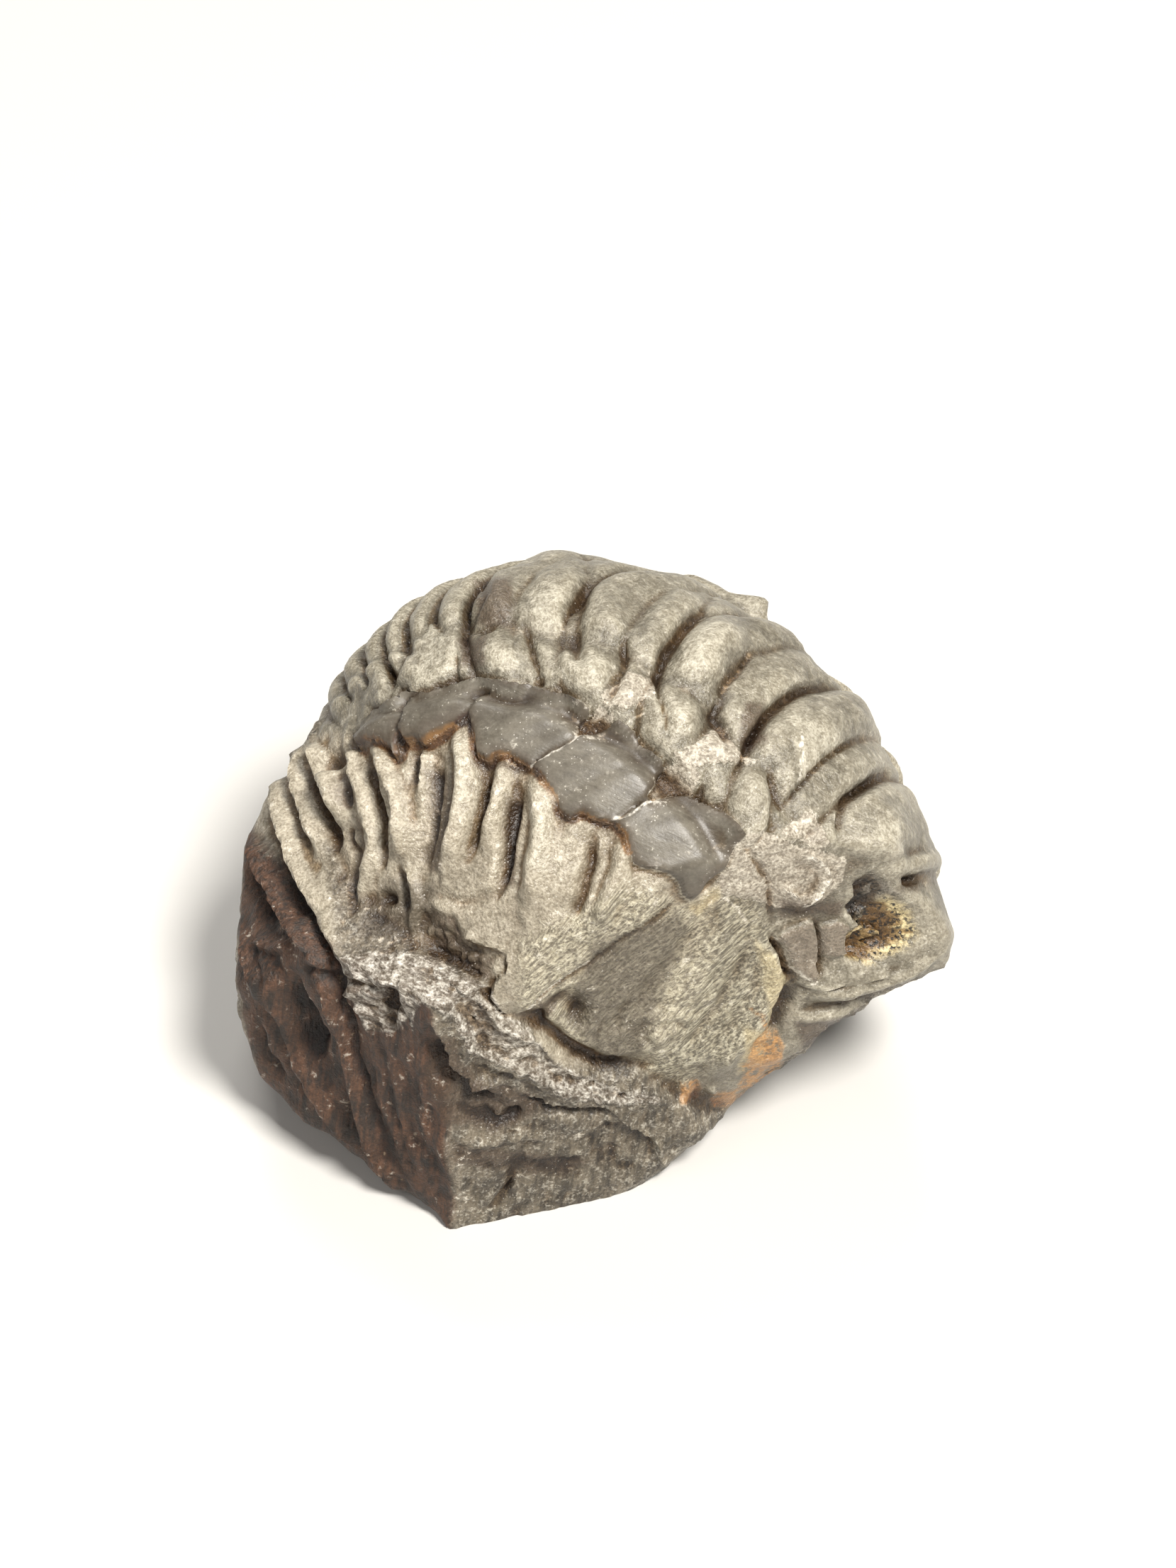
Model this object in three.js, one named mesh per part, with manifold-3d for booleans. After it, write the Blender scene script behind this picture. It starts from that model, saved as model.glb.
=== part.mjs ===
// Rolled-up trilobite in its stone: one solid, in millimetres, +Z up, resting on its flat broken underside.
// The animal is curled round a cross axis that leans towards the front left. A place on it is given by a
// body angle, from the head (0) over the back (90) to the tail (170), and a side angle, from the ridge of
// the back (0) towards the near flank (+) or the far flank (-), both in degrees. Places on the near face
// are given as [across, up] in a plane tilted back by 45 degrees, in millimetres from the centre, and are
// carried onto the stone from a point far out in front of that plane.
import * as THREE from "three";
import { mergeVertices } from "three/addons/utils/BufferGeometryUtils.js";
import Module from "manifold-3d";

// Driving dimensions
const CENTRE = new THREE.Vector3(0, 0, 11); // middle of the curled body above the resting face
const FOOTPRINT_MIDDLE = new THREE.Vector3(-0.2, 1.1, 0); // middle of the outline seen from above
const CROSS_AXIS = new THREE.Vector3(-0.474, -0.786, 0.397).normalize(); // towards the near flank
const HALF_WIDTH = 13.5; // from the mid-plane to a flank
const RIM_EVERY = 30; // degrees between the radii below
const RIM_RADIUS = [17.2, 19.4, 17.5, 18.0, 18.5, 19.3, 19.6, 17.6, 16.4, 16.4, 16.9, 17.2]; // from -180
const FACE_POINT = { out: 200, across: -0.47, up: 5.75 }; // where places are carried onto the face from
const MESH_CUTS = 29; // rows of facets on each sixth of the surface
const NEAR_CROWDING = 0.3; // how much finer the facets are towards the near face

// Rings from head to tail, in degrees of body angle: where a ring starts, where its high lobe starts and
// where it ends, then the heights of the lobe and of the low band before it
const RINGS = [
  { start: -28, lobe: -28, end: 26, height: 0.55, band: 0 },
  { start: 26, lobe: 30, end: 42, height: 1.15, band: 0.7 },
  { start: 42, lobe: 50, end: 61.5, height: 1.25, band: 0.75 },
  { start: 61.5, lobe: 72, end: 83, height: 1.4, band: 0.85 },
  { start: 83, lobe: 92, end: 102.5, height: 1.3, band: 0.95 },
  { start: 102.5, lobe: 112, end: 122.5, height: 1.25, band: 1.1 },
  { start: 122.5, lobe: 122.5, end: 129.5, height: 0.9, band: 0 },
  { start: 129.5, lobe: 129.5, end: 136, height: 0.85, band: 0 },
  { start: 136, lobe: 136, end: 142, height: 0.8, band: 0 },
  { start: 142, lobe: 142, end: 148, height: 0.75, band: 0 },
  { start: 148, lobe: 148, end: 154, height: 0.65, band: 0 },
  { start: 154, lobe: 154, end: 160, height: 0.55, band: 0 },
  { start: 160, lobe: 160, end: 166, height: 0.45, band: 0 },
];
const FURROW_FLOOR = 0.1; // height of the rings' lowest places
const AXIS_MIDDLE = 4.5; // side angle of the axis's middle line
const AXIS_EDGE = 25.5; // side angle from there to either furrow
const NEAR_BOW = 0.014; // how the rings bow towards the head on the near side, degrees per degree squared
const FAR_BOW = 0.008;
const NEAR_FURROW = { side: 33, half: 4, depth: 0.55 };
const FAR_FURROW = { side: -24, half: 4, depth: 0.7 };

// Swollen near ends of the rings: middle, half sizes along and across the body in degrees, and height
const KNOBS = [
  { body: 116.5, side: 26, along: 7.5, across: 8, height: 1.3 },
  { body: 97, side: 25.5, along: 7.5, across: 7.5, height: 1.45 },
  { body: 77, side: 24.5, along: 8.5, across: 8, height: 1.4 },
  { body: 55.5, side: 24.5, along: 7.5, across: 7, height: 1.45 },
  { body: 36, side: 22, along: 6, across: 6, height: 0.8 },
  { body: 136.5, side: 27.5, along: 5.5, across: 6, height: 1.2 },
  { body: 146, side: 29, along: 5, across: 5.5, height: 1.15 },
  { body: 155, side: 29, along: 4.5, across: 5, height: 1.0 },
];
const KNOB_BLEND = 0.25;

// Shell still lying on the near flank: its outline, with the jagged broken edge first, and its overlaps
const SHELL_THICKNESS = 0.6;
const SHELL_OUTLINE = [
  [-12.3, 7.9], [-11.9, 7.6], [-10.8, 7.7], [-10.4, 7.0], [-10.1, 8.4], [-8.9, 7.8], [-7.2, 8.9],
  [-6.6, 9.3], [-6.0, 7.2], [-5.5, 6.9], [-4.5, 7.2], [-3.4, 6.6], [-1.9, 4.3], [-0.7, 4.3],
  [1.0, 3.6], [1.9, 1.6], [3.7, 1.1], [4.9, -0.4], [6.6, 1.2], [7.7, 3.1], [6.0, 4.6], [2.8, 4.9],
  [3.4, 6.6], [1.9, 8.6], [1.1, 9.3], [-0.2, 9.7], [-2.7, 10.9], [-5.7, 11.3], [-8.8, 10.4],
  [-10.4, 10.1], [-11.9, 8.7],
];
const SHELL_OVERLAPS = [
  { line: [[-7.8, 10.7], [-9.1, 9.9], [-10.2, 8.1]], left: 0.8, right: 0.8, height: -0.25 },
  { line: [[-4.7, 10.7], [-6.1, 9.9], [-6.6, 9.3]], left: 0.8, right: 0.8, height: -0.25 },
  { line: [[-0.7, 8.4], [-2.3, 7.4], [-3.4, 6.6]], left: 0.8, right: 0.8, height: -0.25 },
  { line: [[2.5, 4.9], [1.8, 4.3], [1.0, 3.7]], left: 0.8, right: 0.8, height: -0.25 },
];
const SHELL_BACKS = [
  { line: [[-11.9, 7.9], [-10.5, 9.3], [-9.0, 10.2]], left: 1.0, right: 1.1, height: 0.45 },
  { line: [[-9.6, 8.1], [-7.7, 9.7], [-5.7, 10.9]], left: 1.0, right: 1.3, height: 0.45 },
  { line: [[-5.7, 7.4], [-3.4, 9.0], [-1.1, 10.1]], left: 1.3, right: 1.6, height: 0.35 },
  { line: [[-2.5, 6.1], [-0.1, 6.9], [2.2, 7.3]], left: 1.3, right: 1.6, height: 0.25 },
  { line: [[1.4, 3.0], [3.8, 3.7], [6.6, 4.1]], left: 1.2, right: 1.5, height: 0.25 },
];

// Relief of the near face, each a line, its half widths to the left and right of its run, and its height
// (a groove's is negative). First the mould's ribs where the shell is gone, and the clefts between rings.
const RIBS = [
  {
    line: [[-7.1, 8.6], [-6.9, 6.7], [-7.0, 5.0], [-7.3, 3.2], [-8.0, 1.4]],
    left: 1.15,
    right: 0.6,
    height: 1.05,
  },
  {
    line: [[-8.2, 7.2], [-8.4, 5.6], [-8.6, 4.1], [-8.9, 2.2], [-9.1, 0.9]],
    left: 0.5,
    right: 0.75,
    height: -0.6,
  },
  {
    line: [[-11.5, 7.5], [-11.0, 6.3], [-10.4, 5.0], [-10.1, 3.7], [-10.1, 2.2]],
    left: 0.7,
    right: 0.5,
    height: 0.85,
  },
  {
    line: [[-12.0, 7.1], [-11.8, 5.6], [-11.3, 3.7], [-11.2, 1.5]],
    left: 0.5,
    right: 0.5,
    height: -0.65,
  },
  { line: [[-4.9, 7.2], [-5.1, 5.8], [-5.4, 4.3], [-5.9, 2.6]], left: 0.8, right: 0.5, height: 0.7 },
  { line: [[-5.7, 6.5], [-5.9, 4.9], [-6.3, 3.2], [-6.8, 1.7]], left: 0.5, right: 0.5, height: -0.4 },
  {
    line: [[-4.0, 5.5], [-4.2, 4.1], [-4.5, 2.6], [-4.8, 0.9], [-5.1, -0.1]],
    left: 0.5,
    right: 0.75,
    height: -0.7,
  },
  {
    line: [[-3.2, 6.3], [-3.0, 4.5], [-3.1, 2.6], [-3.4, 0.7], [-3.7, -1.1]],
    left: 1.35,
    right: 0.65,
    height: 0.95,
  },
  { line: [[-1.4, 3.7], [-1.6, 2.2], [-1.9, 0.7], [-2.5, -1.1]], left: 0.8, right: 0.9, height: 0.3 },
  {
    line: [[0.0, 3.0], [-0.2, 1.5], [-0.6, -0.1], [-1.3, -1.7]],
    left: 0.5,
    right: 0.75,
    height: -0.55,
  },
  { line: [[1.4, 2.8], [1.1, 1.3], [0.5, -0.3], [-0.2, -1.9]], left: 1, right: 0.55, height: 0.8 },
  { line: [[3.3, 0.4], [2.7, -0.7], [1.8, -1.9]], left: 0.9, right: 0.8, height: 0.3 },
  {
    line: [[-13.1, 8.4], [-12.8, 6.7], [-12.3, 5.0], [-11.9, 3.5]],
    left: 0.5,
    right: 0.5,
    height: 0.45,
  },
  {
    line: [[-14.8, 7.8], [-14.2, 6.6], [-13.7, 5.3], [-13.4, 3.9]],
    left: 0.6,
    right: 0.5,
    height: 0.7,
  },
  {
    line: [[-15.3, 7.2], [-14.9, 6.0], [-14.4, 4.8], [-13.9, 4.1]],
    left: 0.5,
    right: 0.6,
    height: -0.55,
  },
  { line: [[-17.1, 6.5], [-16.6, 5.0], [-16.0, 4.1]], left: 0.5, right: 0.5, height: 0.4 },
  {
    line: [[-12.0, 4.1], [-11.7, 2.8], [-12.0, 1.1], [-12.3, -0.6]],
    left: 0.55,
    right: 0.5,
    height: 0.4,
  },
  { line: [[-7.3, -2.6], [-6.0, -2.7], [-4.9, -2.8]], left: 0.5, right: 0.5, height: -0.4 },
  { line: [[-4.7, -3.2], [-4.8, -4.1], [-5.5, -5.1]], left: 0.5, right: 0.5, height: -0.35 },
];
const CLEFTS = [
  {
    line: [[-0.4, 17.2], [-0.8, 15.9], [-1.0, 14.6], [-1.1, 13.1], [-0.8, 12.5]],
    left: 0.6,
    right: 0.75,
    height: -0.5,
  },
  { line: [[6.0, 15.7], [4.5, 14.2], [3.5, 12.9], [3.1, 11.6]], left: 0.6, right: 0.6, height: -0.45 },
  { line: [[6.7, 10.8], [6.3, 9.7], [7.0, 8.0]], left: 0.6, right: 0.6, height: -0.5 },
  {
    line: [[11.9, 11.1], [10.4, 10.7], [9.1, 9.7], [8.2, 8.2], [7.8, 7.4]],
    left: 0.5,
    right: 0.5,
    height: -0.4,
  },
  { line: [[15.5, 6.7], [14.6, 5.9], [13.1, 4.8], [12.8, 2.8]], left: 0.5, right: 0.5, height: -0.35 },
  { line: [[9.2, 6.9], [9.5, 5.2], [9.3, 3.4], [8.1, 2.4]], left: 0.5, right: 0.5, height: -0.4 },
  { line: [[5.9, 6.3], [5.5, 5.2], [5.7, 3.7], [6.6, 2.6]], left: 0.5, right: 0.5, height: -0.35 },
  {
    line: [[-10.0, 14.2], [-10.3, 12.9], [-10.8, 11.6], [-11.1, 10.3]],
    left: 0.5,
    right: 0.5,
    height: -0.5,
  },
];
const CHEEK = [
  { line: [[7.2, -1.1], [5.3, -4.5], [2.4, -8.2]], left: 1.2, right: 0.8, height: 0.5 },
  { line: [[5.9, -1.1], [3.3, -4.3], [0.3, -7.5]], left: 0.9, right: 0.7, height: -0.4 },
  { line: [[8.2, -2.6], [6.6, -6.0], [4.4, -8.8]], left: 0.5, right: 0.6, height: -0.4 },
  { line: [[9.1, -2.4], [9.1, -4.9], [8.2, -6.7], [6.3, -9.0]], left: 1, right: 0.9, height: 0.55 },
  {
    line: [[-4.7, -6.7], [-2.5, -8.0], [-1.1, -9.0], [0.3, -9.6], [2.4, -9.3]],
    left: 1.2,
    right: 0.5,
    height: -1.1,
  },
  {
    line: [[-3.4, -7.0], [-2.1, -5.7], [-1.1, -4.7], [-0.1, -3.7]],
    left: 0.4,
    right: 0.7,
    height: -0.55,
  },
  { line: [[2.2, -6.7], [4.0, -6.3], [5.3, -6.7]], left: 0.5, right: 0.5, height: 0.3 },
];
const BRIM = [
  {
    line: [[10.3, -5.1], [12.6, -5.1], [15.2, -4.4], [18.2, -3.2]],
    left: 0.55,
    right: 0.7,
    height: 0.6,
  },
  {
    line: [[10.7, -6.1], [13.1, -5.7], [15.7, -4.9], [18.4, -3.4]],
    left: 0.4,
    right: 0.4,
    height: -0.4,
  },
  { line: [[10.1, -4.7], [9.8, -6.5], [9.3, -7.3]], left: 0.5, right: 0.8, height: -0.7 },
  { line: [[9.2, -2.1], [9.6, -3.2], [10.3, -4.5]], left: 0.4, right: 0.4, height: -0.55 },
  { line: [[11.5, -1.5], [11.6, -3.0], [11.5, -4.3]], left: 0.4, right: 0.4, height: -0.4 },
];
// The crest along the top of the block, with the break below it
const CREST_RELIEF = [
  {
    line: [
      [-11.3, -3.6], [-8.7, -5.2], [-7.5, -6.6], [-6.5, -8.3], [-4.2, -9.2], [-1.6, -10.6], [1.4, -11.0],
    ],
    left: 0.8,
    right: 0.9,
    height: 0.45,
  },
  {
    line: [[-7.0, -5.1], [-5.7, -6.1], [-4.9, -7.4], [-3.1, -7.8], [-1.7, -9.3]],
    left: 0.5,
    right: 0.5,
    height: 0.3,
  },
  {
    line: [[-9.0, -6.1], [-8.3, -7.5], [-7.2, -9.2], [-6.3, -10.2], [-4.2, -10.1]],
    left: 0.5,
    right: 0.5,
    height: 0.4,
  },
  {
    line: [[-8.9, -7.6], [-8.2, -9.4], [-7.0, -11.0], [-5.3, -11.4]],
    left: 0.9,
    right: 0.9,
    height: -1.2,
  },
  {
    line: [[-8.1, -11.4], [-6.8, -12.1], [-5.3, -12.4], [-3.9, -11.6]],
    left: 0.6,
    right: 0.4,
    height: -0.65,
  },
  {
    line: [[-3.9, -11.1], [-2.6, -11.6], [-0.1, -11.7], [0.9, -11.8]],
    left: 0.4,
    right: 0.5,
    height: -0.7,
  },
  { line: [[-7.5, -12.9], [-5.3, -13.2], [-3.1, -12.5]], left: 0.5, right: 0.7, height: 0.35 },
  { line: [[-5.7, -16.9], [-4.9, -16.1], [-4.5, -15.0]], left: 0.4, right: 0.4, height: -0.6 },
  {
    line: [[0.9, -11.6], [2.4, -12.4], [3.4, -13.5], [3.5, -14.6]],
    left: 0.5,
    right: 0.5,
    height: 0.3,
  },
];
// The layered break on the left
const LEFT_RELIEF = [
  {
    line: [[-18.5, 3.1], [-17.5, 1.7], [-16.4, -0.1], [-15.3, -1.9], [-14.4, -3.8]],
    left: 0.5,
    right: 0.6,
    height: 1.1,
  },
  {
    line: [[-17.5, 4.1], [-16.8, 2.6], [-16.0, 1.0], [-15.1, -1.1], [-14.2, -3.2], [-13.5, -5.2]],
    left: 0.5,
    right: 0.5,
    height: -1.1,
  },
  {
    line: [[-16.8, 4.5], [-15.9, 3.0], [-15.0, 0.7], [-14.2, -1.5], [-13.7, -3.0]],
    left: 0.6,
    right: 0.6,
    height: 0.45,
  },
  { line: [[-18.1, 1.6], [-17.6, -0.1], [-17.1, -1.5]], left: 0.6, right: 0.8, height: -1.3 },
  { line: [[-17.9, -2.3], [-16.9, -2.8], [-15.9, -2.5]], left: 0.5, right: 0.5, height: 0.7 },
  {
    line: [[-18.7, -1.5], [-18.3, -3.4], [-17.5, -6.0], [-16.7, -7.8], [-16.0, -9.3]],
    left: 0.4,
    right: 0.4,
    height: 0.6,
  },
  {
    line: [[-17.5, -3.4], [-17.1, -5.2], [-16.1, -7.1], [-15.0, -9.3], [-13.9, -11.2], [-12.3, -13.8]],
    left: 0.4,
    right: 0.4,
    height: 0.8,
  },
  { line: [[-16.4, -4.5], [-15.4, -6.3], [-14.6, -8.1]], left: 0.7, right: 0.9, height: -1.7 },
  { line: [[-17.8, -6.6], [-17.3, -8.2], [-16.8, -9.6]], left: 0.4, right: 0.5, height: -1.4 },
  { line: [[-16.2, -8.4], [-15.6, -9.6], [-15.2, -10.6]], left: 0.4, right: 0.4, height: -0.9 },
  {
    line: [[-15.0, -3.4], [-13.9, -5.6], [-13.1, -7.8], [-12.6, -10.1], [-12.0, -12.3], [-11.1, -14.6]],
    left: 0.4,
    right: 0.45,
    height: 0.65,
  },
  {
    line: [[-14.0, -4.2], [-13.1, -6.7], [-12.5, -9.0], [-11.8, -11.2], [-11.0, -13.8]],
    left: 0.4,
    right: 0.4,
    height: -0.4,
  },
  {
    line: [[-12.8, -5.2], [-12.0, -7.1], [-11.5, -9.0], [-11.0, -11.2], [-10.3, -13.4], [-9.5, -16.0]],
    left: 0.4,
    right: 0.4,
    height: 0.45,
  },
  { line: [[-13.2, -10.4], [-12.8, -12.3], [-12.2, -14.2]], left: 0.4, right: 0.4, height: -0.7 },
  { line: [[-17.4, -11.0], [-16.4, -12.1], [-14.9, -12.5]], left: 0.9, right: 0.8, height: 1.1 },
  { line: [[-17.4, -10.3], [-16.6, -11.0], [-15.4, -11.6]], left: 0.7, right: 0.7, height: 0.5 },
];
// Round hollows and lumps: middle, radius and height
const LUMPS = [
  { at: [-11.1, -5.8], radius: 0.95, height: -1.4 },
  { at: [-11.0, -0.4], radius: 0.7, height: -0.5 },
  { at: [16.6, 0.7], radius: 0.6, height: -0.6 },
  { at: [-0.5, 3.6], radius: 0.7, height: 0.25 },
  { at: [3.1, -7.5], radius: 0.8, height: 0.45 },
  { at: [4.6, -10.3], radius: 0.7, height: 0.4 },
  { at: [6.7, -8.6], radius: 0.6, height: 0.35 },
  { at: [-8.2, -1.1], radius: 1.3, height: 0.4 },
  { at: [-5.7, -3.9], radius: 1.3, height: 0.35 },
];
// Raised or sunken patches: outline, height and the width of the step round them
const PATCHES = [
  {
    name: "smooth flake below the ribs",
    height: 0.4,
    edge: 0.5,
    outline: [
      [-4.5, -3.0], [-4.7, -4.3], [-5.5, -5.2], [-4.9, -6.9], [-4.2, -6.8], [-3.4, -5.9],
      [-2.3, -5.0], [-1.1, -4.3], [0.4, -3.0], [0.0, -2.3], [-1.6, -1.9], [-3.1, -2.1],
    ],
  },
  {
    name: "chip beside the pit",
    height: 0.4,
    edge: 0.5,
    outline: [[9.3, -2.2], [11.2, -1.5], [11.5, -2.8], [11.0, -4.5], [10.4, -4.2], [9.8, -3.1]],
  },
  {
    name: "dark crystal pit",
    height: -1.1,
    edge: 0.8,
    outline: [
      [13.1, -1.1], [13.4, 0.6], [14.4, 1.3], [15.7, 0.7], [17.0, -0.9], [17.1, -2.2], [16.0, -3.4],
      [14.3, -3.7], [13.4, -3.2],
    ],
  },
  {
    name: "crumbs of matrix beside the pit",
    height: 0.25,
    edge: 0.6,
    outline: [
      [7.1, 2.4], [9.3, 3.3], [11.0, 4.5], [12.3, 2.5], [13.0, 0.4], [11.5, -0.6], [8.1, -0.4], [6.0, 0.3],
    ],
  },
  {
    name: "flat scale near the tail",
    height: 0.35,
    edge: 0.5,
    outline: [[-8.8, 14.0], [-7.2, 13.4], [-7.5, 11.3], [-9.7, 10.5], [-9.6, 12.2]],
  },
  {
    name: "shallow shell-shaped chip in the front",
    height: -0.3,
    edge: 0.8,
    outline: [
      [-0.1, -11.8], [2.0, -12.1], [3.3, -13.4], [3.3, -14.4], [1.8, -15.1], [-0.1, -14.7], [-1.0, -13.2],
    ],
  },
];

// Far flank: its ribs in degrees of body angle
const FAR_RIBS = { spacing: 20, height: 0.75, edge: -22.5, sweep: 0.5, first: 63 };
// Lip that stands out behind the crest of the back: the directions across the near face's plane between
// which it rises and stops, measured from a point above the centre, its tilt off that plane and its height
const FAR_LIP = {
  above: 2.24,
  start: 82,
  full: 60,
  end: 57,
  stop: 51,
  tilt: -9,
  half: 13,
  height: 1.35,
};

// Broken faces, each as a point on it and the direction it faces
const CHEEK_WALL = { at: [4.8, -11.3, 17], facing: [0.2, -0.95, -0.2], rounding: 2.5 };
const LEFT_FACE = { at: [-7.5, -14.1, 0], facing: [-0.575, -0.817, 0.047] };
const UPPER_LEFT_FACE = { at: [-13.5, -5, 17.2], facing: [-0.79, -0.2, 0.58] };
const LEFT_FOOT = { at: [-7.5, -14.1, 0], facing: [-0.57, -0.43, -0.7] };
const UNDER_FRONT = { at: [10.3, -8, 6.9], facing: [0.667, -0.491, -0.562] };
const UNDER_HEAD = { at: [18.0, -5.6, 11.2], facing: [0.363, -0.624, -0.694] };
const BLOCK_FRONT = { at: [-7.5, -14.1, 0], facing: [0.27, -0.963, 0.07] };
const BLOCK_CREST = { at: [-8.5, -13.3, 15.9], facing: [0.49, -0.85, 0.19] };
const BLOCK_SHELF = { at: [-5.8, -13, 10.4], facing: [0.36, -0.82, 0.44] };
const BLOCK_END = { at: [2.6, -10.8, 7.7], facing: [0.8, -0.31, 0.51] };
const BLOCK_TOP = { at: [-8.5, -13.3, 16.1], facing: [-0.1, -0.15, 0.98] };
const BLOCK_CORNER = { at: [-16.5, 3, 16.9], facing: [-0.79, 0.43, 0.43] };
const BLOCK_BACK = { at: [-18.9, 2.5, 0], facing: [-0.6, 0.8, 0] };
const BLOCK_FOOT = { at: [-18.2, -1.1, 0], facing: [-0.97, -0.17, -0.17] };
const BLOCK_SIDE = { at: [-18.9, 0, 0], facing: [-1, 0, 0] };
const BLOCK_REAR = { at: [0, 6, 0], facing: [0.1, 1, 0.1] };
const BLOCK_HEEL = { at: [9, -2, 0], facing: [0.8, 0.6, 0] };
const BLOCK_FLOOR = { at: [0, 0, -2], facing: [0, 0, -1] };
const BLOCK_FACES = [
  BLOCK_FRONT, BLOCK_END, BLOCK_TOP, BLOCK_CORNER, BLOCK_BACK,
  BLOCK_FOOT, BLOCK_SIDE, BLOCK_REAR, BLOCK_HEEL, BLOCK_FLOOR,
];
const RESTING_FACE = { at: [0, 0, 0], facing: [0, 0, -1] };
const BLOCK_BLEND = 0.6; // rounding where the block runs into the animal
const EDGE_WEAR = 0.4; // rounding of the block's own edges
const WEAR = 0.7; // radius of the patch over which every edge and furrow is worn round
const WEAR_SAMPLES = 8;

const TURN = 180 / Math.PI;
const UP = new THREE.Vector3(0, 0, 1);
const bodyUp = UP.clone().addScaledVector(CROSS_AXIS, -UP.dot(CROSS_AXIS)).normalize();
const bodyFront = new THREE.Vector3().crossVectors(bodyUp, CROSS_AXIS);
const faceUp = new THREE.Vector3(0, 1, 1).normalize();
const faceOut = new THREE.Vector3(0, -1, 1).normalize();

const clamp = THREE.MathUtils.clamp;
const smooth = (from, to, x) => {
  const t = clamp((x - from) / (to - from), 0, 1);
  return t * t * (3 - 2 * t);
};
const hump = (x) => (Math.abs(x) < 1 ? 0.5 + 0.5 * Math.cos(Math.PI * x) : 0);
const crown = (x, flat, soft) => Math.max(0, 1 - Math.min(1, Math.abs(x)) ** flat) ** soft;
const softMin = (a, b, width) => {
  const t = clamp(0.5 + (0.5 * (b - a)) / width, 0, 1);
  return b + (a - b) * t - width * t * (1 - t);
};
const softMax = (a, b, width) => -softMin(-a, -b, width);

// Distance from the centre to a broken face along a direction
function reach(face, direction) {
  const facing = new THREE.Vector3(...face.facing).normalize();
  const along = facing.dot(direction);
  const depth = facing.dot(new THREE.Vector3(...face.at).sub(CENTRE));
  return along > 1e-3 ? depth / along : 1e3;
}

// Distance from the centre to the plain block of stone left at the lower front
function blockRadius(direction) {
  const notch = softMax(reach(BLOCK_CREST, direction), reach(BLOCK_SHELF, direction), EDGE_WEAR);
  return BLOCK_FACES.reduce((nearest, face) => softMin(nearest, reach(face, direction), EDGE_WEAR), notch);
}

// Radius of the curled body round the cross axis, carried smoothly through the values of RIM_RADIUS
function rimRadius(bodyAngle) {
  const steps = RIM_RADIUS.length;
  const at = (bodyAngle + 180) / RIM_EVERY;
  const i = Math.floor(at);
  const t = at - i;
  const [a, b, c, d] = [-1, 0, 1, 2].map((k) => RIM_RADIUS[(i + k + steps) % steps]);
  return b + 0.5 * t * (c - a + t * (2 * a - 5 * b + 4 * c - d + t * (3 * (b - c) + d - a)));
}

// Distance from the centre to the smooth curled body
function ballRadius(direction, bodyAngle, sideAngle) {
  const side = Math.sin(sideAngle / TURN) / HALF_WIDTH;
  const round = Math.cos(sideAngle / TURN) / rimRadius(bodyAngle);
  return softMin(1 / Math.hypot(side, round), reach(CHEEK_WALL, direction), CHEEK_WALL.rounding);
}

// Height of the ring at a bowed body angle, before its edges are let down
function ringProfile(angle) {
  const ring = RINGS.find(({ start, end }) => angle >= start && angle < end);
  if (!ring) return 0;
  const { start, lobe, end, height, band } = ring;
  if (angle >= lobe) {
    const run = (angle - (lobe + end) / 2) / ((end - lobe) / 2);
    return FURROW_FLOOR + (height - FURROW_FLOOR) * crown(run - 0.16 * (1 - run * run), 2.6, 0.55);
  }
  const run = (angle - (start + lobe) / 2) / ((lobe - start) / 2 + 0.6);
  return FURROW_FLOOR + (band - FURROW_FLOOR) * crown(run, 2.2, 0.6);
}

function ringHeight(bodyAngle, sideAngle) {
  const side = sideAngle - AXIS_MIDDLE;
  const angle = bodyAngle + (side > 0 ? NEAR_BOW : FAR_BOW) * side * side;
  const across = Math.abs(side) / AXIS_EDGE;
  const pinch = 1 - 0.35 * hump((side - 14.5) / 4);
  let height = ringProfile(angle) * pinch * smooth(1.1, 0.9, across) * smooth(172, 164, angle);
  for (const { body, side: middle, along, across: wide, height: swell } of KNOBS) {
    const away = Math.hypot((angle - body) / along, (sideAngle - middle) / wide);
    height = softMax(height, swell * crown(away, 2, 0.7), KNOB_BLEND);
  }
  height -= NEAR_FURROW.depth * hump((sideAngle - NEAR_FURROW.side) / NEAR_FURROW.half)
    * smooth(15, 35, bodyAngle) * smooth(172, 160, bodyAngle);
  height -= FAR_FURROW.depth * hump((sideAngle - FAR_FURROW.side) / FAR_FURROW.half)
    * smooth(-10, 10, bodyAngle);
  return height;
}

function farRelief(direction, ball, bodyAngle, sideAngle) {
  const out = FAR_RIBS.edge - sideAngle; // degrees past the far edge of the axis
  const ends = smooth(5, 20, bodyAngle) * smooth(172, 160, bodyAngle);
  const flank = smooth(0, 5, out) * smooth(49, 34, out) * ends;
  const swept = bodyAngle + FAR_RIBS.sweep * out - FAR_RIBS.first;
  const rib = 0.5 + 0.5 * Math.cos((2 * Math.PI * swept) / FAR_RIBS.spacing);
  const turn = Math.atan2(direction.dot(faceUp) * ball - FAR_LIP.above, direction.x * ball) * TURN;
  const tilt = Math.asin(clamp(direction.dot(faceOut), -1, 1)) * TURN;
  const lip = smooth(FAR_LIP.start, FAR_LIP.full, turn) * smooth(FAR_LIP.stop, FAR_LIP.end, turn);
  const lipHeight = FAR_LIP.height * lip * crown((tilt - FAR_LIP.tilt) / FAR_LIP.half, 3, 1);
  return FAR_RIBS.height * flank * (0.5 + rib) + lipHeight;
}

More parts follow.
